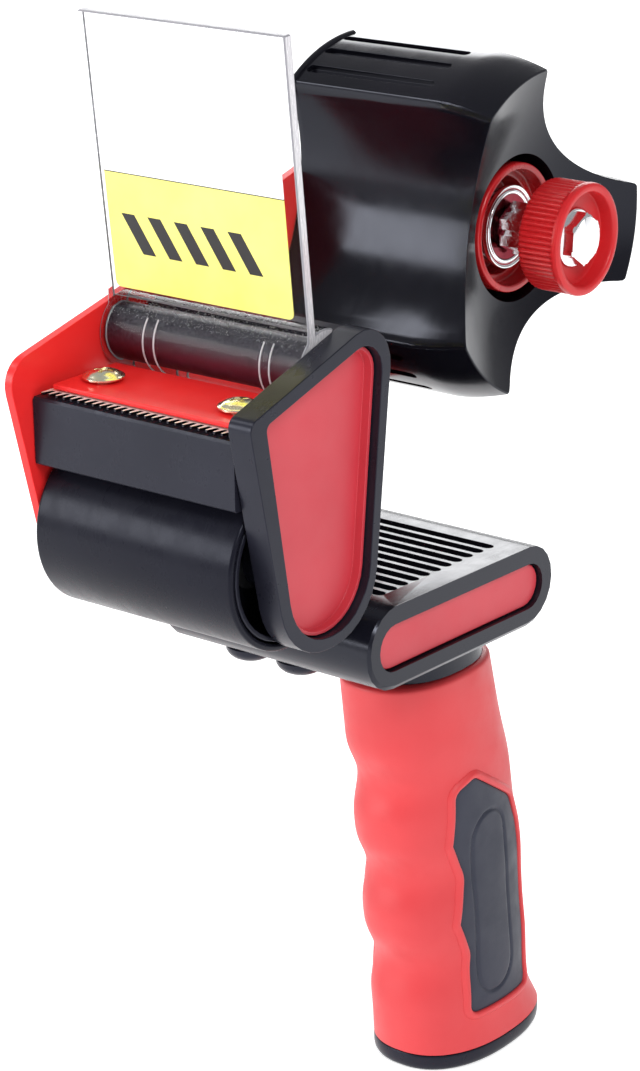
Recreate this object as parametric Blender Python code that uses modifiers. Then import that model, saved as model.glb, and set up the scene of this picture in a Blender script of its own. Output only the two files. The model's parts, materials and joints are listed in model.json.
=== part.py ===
"""Hand-held tape dispenser with a pistol handle, a rubber press roller, a cutting
blade, a clear guard flap and a three-lobed tape hub with an adjustable brake.

Frame: origin at the centre of the handle's flat bottom face. +X points forward,
to the roller and blade. +Y points to the open side, where a tape roll is slid
onto the hub. +Z points up. Every constant is in millimetres or degrees.
"""

import math

import bmesh
import bpy
from mathutils import Matrix, Vector

MM = 0.001
GAP = 0.3

# Side walls: the steel side plate on the -Y side, the plastic cover on the +Y side.
PLATE_INNER = -31.2
PLATE_THICKNESS = 2.0
PLATE_OUTER = PLATE_INNER - PLATE_THICKNESS
COVER_INNER = 20.9
COVER_OUTER = 26.5
COVER_FLOOR = 0.7
INSERT_LIP = 24.7

# What spans the gap between the walls.
SPAN_FAR = PLATE_INNER + GAP
SPAN_NEAR = COVER_INNER - GAP
TAPE_MIDDLE = -5.0
TAPE_WIDTH = 50.0

# Press roller.
ROLLER_X = 84.7
ROLLER_Z = 145.7
ROLLER_RADIUS = 17.8
SLEEVE_WALL = 1.6
AXLE_RADIUS = 3.0

# Blade and its holder.
BLADE_TOP = 175.5
BLADE_THICKNESS = 0.6
BLADE_TIP_X = 99.9
TOOTH_PITCH = 2.0
TOOTH_DEPTH = 1.6
LEDGE_TOP = 177.2
LEDGE_FAR = -28.4
BLADE_SCREW_X = 89.8
BLADE_SCREW_FAR = -21.8
BLADE_SCREW_NEAR = 13.0

# Clear flap on its pivot bar.
FLAP_X = 72.8
FLAP_Z = 182.5
FLAP_LEAN = 5.8
FLAP_REACH = 66.9
FLAP_THICKNESS = 2.2
CURL_RADIUS = 7.8
PIVOT_BAR_RADIUS = 5.1

# Tape hub, for a 76 mm core.
HUB_X = -4.2
HUB_Z = 193.5
HUB_RADIUS = 37.6
HUB_LIP = 0.6
HUB_LIP_WIDTH = 1.6
HUB_WAIST = 20.0
HUB_FAR = -30.7
HUB_NEAR = 20.8
LOBES = (71.3, 191.3, 311.3)
LOBE_HALF_ANGLE = 18.0
HUB_POCKET_RADIUS = 15.7
HUB_POCKET_FLOOR = 0.0
DISH_DEPTH = 8.3

# Hub brake: cup, spring, washer, knob and nut along the spindle.
SPINDLE_RADIUS = 4.0
THREAD_RADIUS = 3.0
CUP_RADIUS = 13.9
CUP_RIM_Y = 12.5
KNOB_RADIUS = 12.0
KNOB_FAR = 20.6
KNOB_BAND = 27.6
KNOB_NEAR = 30.8
KNOB_RIBS = 60
THREAD_END = 27.9

# Base body: a bar with round ends, along Y. Its front end is a little higher.
BASE_RADIUS = 9.0
BASE_REAR_CENTRE = (10.4, 119.5)
BASE_FRONT_CENTRE = (58.4, 120.85)
BASE_RIM = 3.9
GROOVE_COUNT = 11
GROOVE_PITCH = 3.85
GROOVE_FIRST_X = 15.4
GROOVE_WIDTH = 2.7
GROOVE_DEPTH = 1.8
GROOVE_NEAR_Y = 20.5
GROOVE_FAR_Y = -27.0
BASE_SCREW_X = 54.3

# Handle.
GRIP_BOTTOM = 4.3
GRIP_TOP = 98.3
CAP_TOP = 4.0
HANDLE_LEAN = 0.14
PALM_DEPTH = 9.0
CORE_HALF_X = 8.5
CORE_HALF_Y = 6.5

RED = (0.78, 0.045, 0.05)
SOFT_RED = (0.84, 0.07, 0.075)
BLACK = (0.03, 0.03, 0.035)
STEEL = (0.62, 0.62, 0.64)
BUSH_BLACK = (0.05, 0.05, 0.055)


def clear_scene():
    for obj in list(bpy.data.objects):
        bpy.data.objects.remove(obj, do_unlink=True)


clear_scene()
parts = bpy.data.collections.new("tape_dispenser")
bpy.context.scene.collection.children.link(parts)
cutters = bpy.data.collections.new("cutters")
bpy.context.scene.collection.children.link(cutters)


def place(obj, name, collection):
    obj.name = name
    obj.data.name = name
    for owner in list(obj.users_collection):
        owner.objects.unlink(obj)
    collection.objects.link(obj)
    return obj


def finish(obj, color, roughness=0.4, metallic=0.0, alpha=1.0, sharp=35.0):
    """Give a part its own Principled material and smooth shading on its round faces."""
    material = bpy.data.materials.new(obj.name + "_material")
    material.use_nodes = True
    shader = material.node_tree.nodes["Principled BSDF"]
    shader.inputs["Base Color"].default_value = (*color, 1.0)
    shader.inputs["Roughness"].default_value = roughness
    shader.inputs["Metallic"].default_value = metallic
    shader.inputs["Alpha"].default_value = alpha
    obj.data.materials.clear()
    obj.data.materials.append(material)
    obj.data.shade_smooth()
    obj.data.set_sharp_from_angle(angle=math.radians(sharp))
    return obj


def box(name, x_range, y_range, z_range, collection=parts):
    low = Vector((x_range[0], y_range[0], z_range[0])) * MM
    high = Vector((x_range[1], y_range[1], z_range[1])) * MM
    bpy.ops.mesh.primitive_cube_add(size=1.0, location=(low + high) / 2)
    obj = bpy.context.active_object
    obj.scale = high - low
    bpy.ops.object.transform_apply(location=False, rotation=False, scale=True)
    return place(obj, name, collection)


def cylinder(name, radius, start, end, sides=24, collection=parts):
    """A plain cylinder from one point to another."""
    low = Vector(start) * MM
    high = Vector(end) * MM
    bpy.ops.mesh.primitive_cylinder_add(
        vertices=sides,
        radius=radius * MM,
        depth=(high - low).length,
        location=(low + high) / 2,
        rotation=(high - low).to_track_quat("Z", "Y").to_euler(),
    )
    return place(bpy.context.active_object, name, collection)


def turned(name, profile, location, sides=32, collection=parts, closed=True):
    """Turn (radius, y) points about an axis along Y, through the location's X and Z.

    The profile runs down its outer side, from +Y to -Y, and back up its inner side.
    """
    mesh = bpy.data.meshes.new(name)
    points = [(radius * MM, 0.0, y * MM) for radius, y in profile]
    edges = [(i, i + 1) for i in range(len(points) - 1)]
    if closed:
        edges.append((len(points) - 1, 0))
    mesh.from_pydata(points, edges, [])
    obj = bpy.data.objects.new(name, mesh)
    collection.objects.link(obj)
    obj.rotation_euler = (-math.pi / 2, 0.0, 0.0)
    obj.location = Vector(location) * MM
    screw = obj.modifiers.new("turn", "SCREW")
    screw.axis = "Z"
    screw.steps = sides
    screw.render_steps = sides
    screw.use_merge_vertices = True
    screw.merge_threshold = 0.00001
    return bake(obj, collection)


def bake(obj, collection):
    """Replace an object by a mesh of what its modifiers or curve settings make."""
    bpy.context.view_layer.update()
    graph = bpy.context.evaluated_depsgraph_get()
    mesh = bpy.data.meshes.new_from_object(obj.evaluated_get(graph))
    shape = bmesh.new()
    shape.from_mesh(mesh)
    bmesh.ops.remove_doubles(shape, verts=shape.verts, dist=0.000002)
    bmesh.ops.recalc_face_normals(shape, faces=shape.faces)
    shape.to_mesh(mesh)
    shape.free()
    name = obj.name
    matrix = obj.matrix_world.copy()
    bpy.data.objects.remove(obj, do_unlink=True)
    solid = bpy.data.objects.new(name, mesh)
    solid.matrix_world = matrix
    collection.objects.link(solid)
    solid.name = name
    return solid


def slab(name, outline, y_range, collection=parts, origin=None):
    """A flat outline in the XZ plane, as a filled 2D curve extruded along Y."""
    centre = Vector(origin) if origin else Vector((0.0, 0.0, 0.0))
    curve = bpy.data.curves.new(name, "CURVE")
    curve.dimensions = "2D"
    curve.fill_mode = "BOTH"
    curve.extrude = (y_range[1] - y_range[0]) / 2 * MM
    spline = curve.splines.new("POLY")
    spline.points.add(len(outline) - 1)
    for point, (x, z) in zip(spline.points, outline):
        point.co = ((x - centre.x) * MM, (z - centre.z) * MM, 0.0, 1.0)
    spline.use_cyclic_u = True
    obj = bpy.data.objects.new(name, curve)
    collection.objects.link(obj)
    obj.rotation_euler = (math.pi / 2, 0.0, 0.0)
    obj.location = Vector((centre.x, (y_range[0] + y_range[1]) / 2, centre.z)) * MM
    solid = bake(obj, collection)
    if origin:
        move_origin(solid, centre)
    return solid


def move_origin(obj, point):
    """Put the object's origin at a point given in millimetres, leaving the shape."""
    target = Vector(point) * MM
    bpy.context.view_layer.update()
    obj.data.transform(Matrix.Translation(-target) @ obj.matrix_world)
    obj.matrix_world = Matrix.Translation(target)


def arc(centre, radius, start, end, steps):
    points = []
    for i in range(steps + 1):
        angle = math.radians(start + (end - start) * i / steps)
        points.append(
            (centre[0] + radius * math.cos(angle), centre[1] + radius * math.sin(angle))
        )
    return points


def rounded(corners, radii, steps=6):
    """A convex polygon with its corners rounded, as a list of points."""
    count = len(corners)
    points = []
    for i in range(count):
        here = Vector(corners[i])
        before = (Vector(corners[i - 1]) - here).normalized()
        after = (Vector(corners[(i + 1) % count]) - here).normalized()
        half = math.acos(max(-1.0, min(1.0, before.dot(after)))) / 2
        centre = here + (before + after).normalized() * radii[i] / math.sin(half)
        reach = radii[i] / math.tan(half)
        first = here + before * reach - centre
        last = here + after * reach - centre
        start = math.atan2(first.y, first.x)
        turn = math.atan2(first.x * last.y - first.y * last.x, first.dot(last))
        for k in range(steps + 1):
            angle = start + turn * k / steps
            points.append(
                (
                    centre.x + radii[i] * math.cos(angle),
                    centre.y + radii[i] * math.sin(angle),
                )
            )
    return points


def inset(corners, distance):
    """Move each side of a polygon inwards. Its corners run clockwise."""
    count = len(corners)
    moved = []
    for i in range(count):
        here = Vector(corners[i])
        along_in = (here - Vector(corners[i - 1])).normalized()
        along_out = (Vector(corners[(i + 1) % count]) - here).normalized()
        normal_in = Vector((along_in.y, -along_in.x))
        normal_out = Vector((along_out.y, -along_out.x))
        both = normal_in + normal_out
        moved.append(tuple(here + both * distance / (1 + normal_in.dot(normal_out))))
    return moved


def loft(name, rings, collection=parts):
    """Join closed rings of points, all with the same count, and cap both ends."""
    shape = bmesh.new()
    loops = [[shape.verts.new(Vector(p) * MM) for p in ring] for ring in rings]
    count = len(loops[0])
    for lower, upper in zip(loops, loops[1:]):
        for i in range(count):
            j = (i + 1) % count
            shape.faces.new((lower[i], lower[j], upper[j], upper[i]))
    shape.faces.new(list(reversed(loops[0])))
    shape.faces.new(loops[-1])
    bmesh.ops.recalc_face_normals(shape, faces=shape.faces)
    mesh = bpy.data.meshes.new(name)
    shape.to_mesh(mesh)
    shape.free()
    obj = bpy.data.objects.new(name, mesh)
    collection.objects.link(obj)
    return obj


def combine(target, tool, operation="DIFFERENCE"):
    """Cut a tool from the target, or join or intersect it, as a live modifier."""
    for owner in list(tool.users_collection):
        owner.objects.unlink(tool)
    cutters.objects.link(tool)
    tool.hide_render = True
    tool.display_type = "WIRE"
    step = target.modifiers.new(tool.name, "BOOLEAN")
    step.operation = operation
    step.object = tool
    step.solver = "EXACT"


def bore(target, name, radius, x, z, y_range, sides=24):
    tool = cylinder(name, radius, (x, y_range[0], z), (x, y_range[1], z), sides, cutters)
    combine(target, tool)


def smooth_between(table, at):
    """Read a smooth curve through (position, value) stations."""
    if at <= table[0][0]:
        return table[0][1]
    for i in range(len(table) - 1):
        x0, y0 = table[i]
        x1, y1 = table[i + 1]
        if at <= x1:
            before = table[max(i - 1, 0)]
            after = table[min(i + 2, len(table) - 1)]
            m0 = (y1 - before[1]) / (x1 - before[0])
            m1 = (after[1] - y0) / (after[0] - x0)
            t = (at - x0) / (x1 - x0)
            width = x1 - x0
            return (
                (2 * t**3 - 3 * t**2 + 1) * y0
                + (t**3 - 2 * t**2 + t) * width * m0
                + (3 * t**2 - 2 * t**3) * y1
                + (t**3 - t**2) * width * m1
            )
    return table[-1][1]


# ---------------------------------------------------------------- frame plate

PLATE_CORNERS = (
    (107.6, 181.75),
    (96.3, 135.5),
    (57.0, 111.8),
    (2.2, 111.5),
    (-34.2, 215.4),
)
plate = slab(
    "frame_plate",
    rounded(PLATE_CORNERS, (6.0, 12.0, 6.0, 8.0, 20.0), 8),
    (PLATE_OUTER, PLATE_INNER),
)
PLATE_SPAN = (PLATE_OUTER - 1.0, PLATE_INNER + 1.0)
bore(plate, "plate_hole_spindle", SPINDLE_RADIUS + GAP, HUB_X, HUB_Z, PLATE_SPAN)
bore(plate, "plate_hole_axle", AXLE_RADIUS + GAP, ROLLER_X, ROLLER_Z, PLATE_SPAN)
bore(plate, "plate_hole_pivot", 2.5 + GAP, FLAP_X, FLAP_Z, PLATE_SPAN)

BAR_SCREW = (83.5, 171.8)
CROSSBAR_SCREW = (61.9, 183.6)


def countersink(name, x, z):
    """The tapered recess of a flush screw head, with its clearance hole."""
    profile = (
        (0.0, PLATE_INNER + 1.0),
        (1.7, PLATE_INNER + 1.0),
        (1.7, PLATE_INNER - 0.3),
        (3.9, PLATE_OUTER - 0.2),
        (0.0, PLATE_OUTER - 0.2),
    )
    tool = turned(name, profile, (x, 0.0, z), 20, cutters, closed=False)
    combine(plate, tool)


def flush_screw(name, x, z, reach):
    """A countersunk screw driven from outside the side plate."""
    profile = (
        (0.0, PLATE_INNER + reach),
        (1.4, PLATE_INNER + reach),
        (1.4, PLATE_INNER - 0.15),
        (3.2, PLATE_OUTER + 0.1),
        (0.0, PLATE_OUTER + 0.1),
    )
    screw = turned(name, profile, (x, 0.0, z), 20, closed=False)
    for turn, size in (("a", (4.0, 0.7)), ("b", (0.7, 4.0))):
        slot = box(
            name + "_slot_" + turn,
            (x - size[0] / 2, x + size[0] / 2),
            (PLATE_OUTER - 1.0, PLATE_OUTER + 0.9),
            (z - size[1] / 2, z + size[1] / 2),
            cutters,
        )
        combine(screw, slot)
    finish(screw, STEEL, 0.3, 1.0)
    return screw


countersink("plate_sink_bar", *BAR_SCREW)
countersink("plate_sink_crossbar", *CROSSBAR_SCREW)
flush_screw("bar_screw", *BAR_SCREW, 9.0)
flush_screw("crossbar_screw", *CROSSBAR_SCREW, 9.0)
finish(plate, RED, 0.3)

# ---------------------------------------------------------------- front bar

FRONT_BAR_OUTLINE = (
    (96.6, 160.5),
    (96.6, 168.0),
    (94.8, 169.0),
    (79.3, 169.0),
    (79.3, 174.6),
    (100.4, 174.6),
    (100.9, 174.1),
    (100.9, 160.9),
    (100.5, 160.5),
)
front_bar = slab("front_bar", FRONT_BAR_OUTLINE, (SPAN_FAR, SPAN_NEAR))
BLADE_SCREWS = (
    ("blade_screw_far", BLADE_SCREW_FAR),
    ("blade_screw_near", BLADE_SCREW_NEAR),
)
for screw_name, y in BLADE_SCREWS:
    combine(
        front_bar,
        cylinder(
            "bar_hole_" + screw_name,
            1.95 + GAP,
            (BLADE_SCREW_X, y, 165.0),
            (BLADE_SCREW_X, y, 180.0),
            16,
            cutters,
        ),
    )
bore(front_bar, "bar_hole_screw", 1.7, *BAR_SCREW, (SPAN_FAR - 1.0, SPAN_FAR + 10.0), 16)
FRONT_DOWEL = (98.35, 167.0)
FRONT_DOWEL_RADIUS = 0.95
bore(
    front_bar,
    "bar_hole_dowel",
    FRONT_DOWEL_RADIUS + GAP,
    *FRONT_DOWEL,
    (SPAN_NEAR - 4.0, SPAN_NEAR + 1.0),
    16,
)
finish(front_bar, BLACK, 0.3)

# ---------------------------------------------------------------- blade

blade_y0 = TAPE_MIDDLE - TAPE_WIDTH / 2
teeth = int(TAPE_WIDTH / TOOTH_PITCH)
blade_outline = [(83.8, blade_y0), (83.8, blade_y0 + TAPE_WIDTH)]
for i in range(teeth):
    root = blade_y0 + TAPE_WIDTH - i * TOOTH_PITCH
    blade_outline.append((BLADE_TIP_X - TOOTH_DEPTH, root))
    blade_outline.append((BLADE_TIP_X, root - TOOTH_PITCH / 2))
blade_outline.append((BLADE_TIP_X - TOOTH_DEPTH, blade_y0))
blade_curve = bpy.data.curves.new("blade", "CURVE")
blade_curve.dimensions = "2D"
blade_curve.fill_mode = "BOTH"
blade_curve.extrude = BLADE_THICKNESS / 2 * MM
blade_spline = blade_curve.splines.new("POLY")
blade_spline.points.add(len(blade_outline) - 1)
for point, (x, y) in zip(blade_spline.points, blade_outline):
    point.co = (x * MM, y * MM, 0.0, 1.0)
blade_spline.use_cyclic_u = True
blade_shape = bpy.data.objects.new("blade", blade_curve)
parts.objects.link(blade_shape)
blade_shape.location = (0.0, 0.0, (BLADE_TOP - BLADE_THICKNESS / 2) * MM)
blade = bake(blade_shape, parts)

# ---------------------------------------------------------------- blade ledge

ledge = box(
    "blade_ledge",
    (78.9, 98.6),
    (LEDGE_FAR, SPAN_NEAR),
    (BLADE_TOP + GAP, LEDGE_TOP),
)
for screw_name, y in BLADE_SCREWS:
    for target, radius in ((blade, 2.3), (ledge, 2.3)):
        tool = cylinder(
            target.name + "_hole_" + screw_name,
            radius,
            (BLADE_SCREW_X, y, 170.0),
            (BLADE_SCREW_X, y, 180.0),
            16,
            cutters,
        )
        combine(target, tool)
finish(blade, STEEL, 0.25, 1.0)
finish(ledge, RED, 0.3)


def turned_upright(name, profile, x, y, sides=24):
    """Turn (radius, z) points about a vertical axis through X and Y."""
    screw = turned(name, profile, (0.0, 0.0, 0.0), sides, closed=False)
    screw.matrix_world = Matrix.Translation(Vector((x, y, 0.0)) * MM)
    return screw


HEAD_BASE = LEDGE_TOP + GAP
for screw_name, y in BLADE_SCREWS:
    head = (
        (0.0, HEAD_BASE + 1.7),
        (1.8, HEAD_BASE + 1.6),
        (3.3, HEAD_BASE + 1.2),
        (3.8, HEAD_BASE + 0.8),
        (4.3, HEAD_BASE + 0.6),
        (4.3, HEAD_BASE),
        (1.95, HEAD_BASE),
        (1.95, 167.0),
        (0.0, 167.0),
    )
    screw = turned_upright(screw_name, head, BLADE_SCREW_X, y)
    for turn, size in (("a", (4.4, 0.9)), ("b", (0.9, 4.4))):
        slot = box(
            screw_name + "_slot_" + turn,
            (BLADE_SCREW_X - size[0] / 2, BLADE_SCREW_X + size[0] / 2),
            (y - size[1] / 2, y + size[1] / 2),
            (HEAD_BASE + 0.7, HEAD_BASE + 4.0),
            cutters,
        )
        combine(screw, slot)
    finish(screw, (0.75, 0.62, 0.3), 0.25, 1.0)

# ---------------------------------------------------------------- rear crossbar

crossbar = box("rear_crossbar", (59.7, 64.1), (SPAN_FAR, SPAN_NEAR), (180.6, 187.2))
bore(
    crossbar, "crossbar_hole_screw", 1.7, *CROSSBAR_SCREW, (SPAN_FAR - 1.0, SPAN_FAR + 10.0), 16
)
REAR_DOWEL = (61.7, 184.8)
REAR_DOWEL_RADIUS = 0.7
bore(
    crossbar,
    "crossbar_hole_dowel",
    REAR_DOWEL_RADIUS + GAP,
    *REAR_DOWEL,
    (SPAN_NEAR - 4.0, SPAN_NEAR + 1.0),
    16,
)
finish(crossbar, BLACK, 0.35)

# ---------------------------------------------------------------- near cover

COVER_CORNERS = ((103.3, 179.5), (92.4, 127.6), (65.7, 127.6), (57.7, 193.4))
COVER_RADII = (2.5, 14.6, 14.6, 8.5)
POCKET_CORNERS = ((98.2, 178.1), (90.1, 130.1), (67.6, 130.1), (61.1, 188.9))
POCKET_RADII = (1.5, 12.4, 12.4, 6.0)
cover = slab(
    "near_cover", rounded(COVER_CORNERS, COVER_RADII, 7), (COVER_INNER, COVER_OUTER)
)
combine(
    cover,
    slab(
        "cover_pocket",
        rounded(POCKET_CORNERS, POCKET_RADII, 7),
        (COVER_INNER + COVER_FLOOR, COVER_OUTER + 1.0),
        cutters,
    ),
)
BOSS_END = 13.4
boss = turned(
    "cover_axle_boss",
    (
        (6.0, COVER_INNER + COVER_FLOOR / 2),
        (6.0, BOSS_END),
        (AXLE_RADIUS + GAP, BOSS_END),
        (AXLE_RADIUS + GAP, COVER_INNER - 0.8),
        (0.0, COVER_INNER - 0.8),
        (0.0, COVER_INNER + COVER_FLOOR / 2),
    ),
    (ROLLER_X, 0.0, ROLLER_Z),
    24,
    cutters,
    closed=False,
)
combine(cover, boss, "UNION")
PEG_END = 16.2
peg = cylinder(
    "cover_pivot_peg",
    2.5,
    (FLAP_X, PEG_END, FLAP_Z),
    (FLAP_X, COVER_INNER + COVER_FLOOR / 2, FLAP_Z),
    20,
    cutters,
)
combine(cover, peg, "UNION")
for dowel_name, spot, radius in (
    ("front_dowel", FRONT_DOWEL, FRONT_DOWEL_RADIUS),
    ("rear_dowel", REAR_DOWEL, REAR_DOWEL_RADIUS),
):
    bore(
        cover,
        "cover_hole_" + dowel_name,
        radius + GAP,
        *spot,
        (COVER_INNER - 1.0, COVER_INNER + 4.0),
        16,
    )
    dowel = cylinder(
        dowel_name,
        radius,
        (spot[0], SPAN_NEAR - 3.7, spot[1]),
        (spot[0], COVER_INNER + 3.7, spot[1]),
        16,
    )
    finish(dowel, STEEL, 0.3, 1.0)
finish(cover, BLACK, 0.35)

insert_corners = inset(POCKET_CORNERS, GAP)
insert_radii = [radius - GAP for radius in POCKET_RADII]
INSERT_BASE = COVER_INNER + COVER_FLOOR + 0.2
cover_insert = slab(
    "cover_insert", rounded(insert_corners, insert_radii, 7), (INSERT_BASE, INSERT_LIP)
)
combine(
    cover_insert,
    slab(
        "insert_pan",
        rounded(inset(insert_corners, 0.8), [r - 0.8 for r in insert_radii], 7),
        (INSERT_BASE + 1.0, COVER_OUTER),
        cutters,
    ),
)
finish(cover_insert, RED, 0.35)

# ---------------------------------------------------------------- roller

ROLLER_FAR = SPAN_FAR + 0.5
ROLLER_NEAR = SPAN_NEAR - 0.4
AXIS_ROLLER = (ROLLER_X, 0.0, ROLLER_Z)
SLEEVE_INNER = ROLLER_RADIUS - SLEEVE_WALL
sleeve = turned(
    "roller_sleeve",
    (
        (ROLLER_RADIUS - 0.6, ROLLER_NEAR),
        (ROLLER_RADIUS, ROLLER_NEAR - 0.6),
        (ROLLER_RADIUS, ROLLER_FAR + 0.6),
        (ROLLER_RADIUS - 0.6, ROLLER_FAR),
        (SLEEVE_INNER, ROLLER_FAR),
        (SLEEVE_INNER, ROLLER_NEAR),
    ),
    AXIS_ROLLER,
    48,
)
finish(sleeve, (0.035, 0.035, 0.04), 0.55)
CORE_OUTER = SLEEVE_INNER - GAP
WEB_FAR = -21.0
WEB_NEAR = 10.0
core = turned(
    "roller_core",
    (
        (CORE_OUTER, ROLLER_NEAR - 0.2),
        (CORE_OUTER, ROLLER_FAR + 0.2),
        (CORE_OUTER - 1.1, ROLLER_FAR + 0.2),
        (CORE_OUTER - 1.1, WEB_FAR),
        (4.9, WEB_FAR),
        (4.9, WEB_NEAR),
        (CORE_OUTER - 1.1, WEB_NEAR),
        (CORE_OUTER - 1.1, ROLLER_NEAR - 0.2),
    ),
    AXIS_ROLLER,
    40,
)
finish(core, (0.05, 0.05, 0.055), 0.5)


def flanged_bush(name, centre, y_flange, y_end, inner, outer, flange, sides=24):
    """A plain bearing bush: the flange is at y_flange, the sleeve runs to y_end."""
    side = 1.0 if y_end > y_flange else -1.0
    step = y_flange + side * 1.2
    if side > 0:
        profile = (
            (outer, y_end),
            (outer, step),
            (flange, step),
            (flange, y_flange),
            (inner, y_flange),
            (inner, y_end),
        )
    else:
        profile = (
            (flange, y_flange),
            (flange, step),
            (outer, step),
            (outer, y_end),
            (inner, y_end),
            (inner, y_flange),
        )
    bush = turned(name, profile, centre, sides)
    finish(bush, BUSH_BLACK, 0.4)
    return bush


flanged_bush(
    "roller_bush_far", AXIS_ROLLER, WEB_FAR - 1.4, WEB_FAR + 8.0, AXLE_RADIUS + 0.1, 4.6, 7.0
)
flanged_bush(
    "roller_bush_near", AXIS_ROLLER, WEB_NEAR + 1.4, WEB_NEAR - 8.0, AXLE_RADIUS + 0.1, 4.6, 7.0
)
COLLAR_NEAR = SPAN_FAR + 2.5
axle = turned(
    "roller_axle",
    (
        (0.0, COVER_INNER - 1.2),
        (AXLE_RADIUS, COVER_INNER - 1.2),
        (AXLE_RADIUS, COLLAR_NEAR),
        (5.2, COLLAR_NEAR),
        (5.2, SPAN_FAR),
        (AXLE_RADIUS, SPAN_FAR),
        (AXLE_RADIUS, PLATE_OUTER + 0.1),
        (0.0, PLATE_OUTER + 0.1),
    ),
    AXIS_ROLLER,
    24,
    closed=False,
)
finish(axle, STEEL, 0.3, 1.0)
spacer = turned(
    "roller_spacer",
    (
        (4.8, WEB_FAR - 1.7),
        (4.8, COLLAR_NEAR + GAP),
        (AXLE_RADIUS + 0.15, COLLAR_NEAR + GAP),
        (AXLE_RADIUS + 0.15, WEB_FAR - 1.7),
    ),
    AXIS_ROLLER,
    24,
)
finish(spacer, STEEL, 0.35, 1.0)

# ---------------------------------------------------------------- flap and pivot bar

AXIS_FLAP = (FLAP_X, 0.0, FLAP_Z)
pivot_bar = turned(
    "flap_pivot_bar",
    (
        (0.0, PEG_END - GAP),
        (2.5 + GAP, PEG_END - GAP),
        (2.5 + GAP, SPAN_NEAR),
        (PIVOT_BAR_RADIUS, SPAN_NEAR),
        (PIVOT_BAR_RADIUS, SPAN_FAR),
        (2.5, SPAN_FAR),
        (2.5, PLATE_OUTER + 0.1),
        (0.0, PLATE_OUTER + 0.1),
    ),
    AXIS_FLAP,
    24,
    closed=False,
)
finish(pivot_bar, BLACK, 0.35)

lean = math.radians(FLAP_LEAN)
along = Vector((math.sin(lean), math.cos(lean)))
across = Vector((math.cos(lean), -math.sin(lean)))
FRONT_OFFSET = 4.0
BACK_OFFSET = FRONT_OFFSET - FLAP_THICKNESS


def on_flap(offset, reach):
    spot = Vector((FLAP_X, FLAP_Z)) + across * offset + along * reach
    return (spot.x, spot.y)


front_angle = 90.0 - FLAP_LEAN - math.degrees(math.asin(FRONT_OFFSET / CURL_RADIUS))
back_angle = 90.0 - FLAP_LEAN - math.degrees(math.asin(BACK_OFFSET / CURL_RADIUS))
flap_outline = arc((FLAP_X, FLAP_Z), CURL_RADIUS, -145.0, front_angle, 14)
flap_outline.append(on_flap(FRONT_OFFSET, FLAP_REACH - 0.4))
flap_outline.append(on_flap(FRONT_OFFSET - 0.4, FLAP_REACH))
flap_outline.append(on_flap(BACK_OFFSET + 0.4, FLAP_REACH))
flap_outline.append(on_flap(BACK_OFFSET, FLAP_REACH - 0.4))
flap_outline.extend(arc((FLAP_X, FLAP_Z), CURL_RADIUS, back_angle, 112.0, 3))
flap_outline.extend(arc((FLAP_X, FLAP_Z), PIVOT_BAR_RADIUS + GAP, 112.0, -145.0, 18))
flap = slab("clear_flap", flap_outline, (SPAN_FAR, SPAN_NEAR), parts, AXIS_FLAP)
finish(flap, (0.93, 0.95, 0.96), 0.06, 0.0, 0.25)

LABEL_LOW = 10.7
LABEL_HIGH = 41.0
label_outline = (
    on_flap(FRONT_OFFSET + 0.05, LABEL_LOW),
    on_flap(FRONT_OFFSET + 0.05, LABEL_HIGH),
    on_flap(FRONT_OFFSET + 0.25, LABEL_HIGH),
    on_flap(FRONT_OFFSET + 0.25, LABEL_LOW),
)
label = slab("flap_label", label_outline, (-28.0, 17.4), parts, AXIS_FLAP)
finish(label, (0.95, 0.87, 0.2), 0.4)

# ---------------------------------------------------------------- tape hub

AXIS_HUB = (HUB_X, 0.0, HUB_Z)


def hub_radius(angle, outer):
    """Outline of the hub: three lobes of one radius, with hollow sides between them."""
    nearest = min(LOBES, key=lambda lobe: abs((angle - lobe + 180.0) % 360.0 - 180.0))
    off = abs((angle - nearest + 180.0) % 360.0 - 180.0)
    if off <= LOBE_HALF_ANGLE:
        return outer
    half_chord = outer * math.sin(math.radians(60.0 - LOBE_HALF_ANGLE))
    chord_at = outer * math.cos(math.radians(60.0 - LOBE_HALF_ANGLE))
    sag = chord_at - HUB_WAIST
    side_radius = (half_chord**2 + sag**2) / (2 * sag)
    centre = HUB_WAIST + side_radius
    swing = math.radians(60.0 - off)
    return centre * math.cos(swing) - math.sqrt(
        side_radius**2 - (centre * math.sin(swing)) ** 2
    )


def hub_angles():
    angles = []
    for lobe in LOBES:
        for k in range(-2, 3):
            angles.append(lobe + LOBE_HALF_ANGLE * k / 2)
        for k in range(1, 8):
            angles.append(lobe + LOBE_HALF_ANGLE + (120.0 - 2 * LOBE_HALF_ANGLE) * k / 8)
    return angles


def dish(radius):
    """Y of the dished near face at a distance from the axis."""
    share = max(0.0, min(1.0, (radius - 13.0) / 22.0))
    return HUB_NEAR - DISH_DEPTH * (1.0 - share**1.38)


def hub_ring(outer, y):
    return [
        (
            hub_radius(angle, outer) * math.cos(math.radians(angle)),
            y,
            hub_radius(angle, outer) * math.sin(math.radians(angle)),
        )
        for angle in hub_angles()
    ]


def hub_face_ring(scale):
    ring = []
    for angle in hub_angles():
        radius = HUB_POCKET_RADIUS + (hub_radius(angle, 35.0) - HUB_POCKET_RADIUS) * scale
        ring.append(
            (
                radius * math.cos(math.radians(angle)),
                dish(radius),
                radius * math.sin(math.radians(angle)),
            )
        )
    return ring


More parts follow.
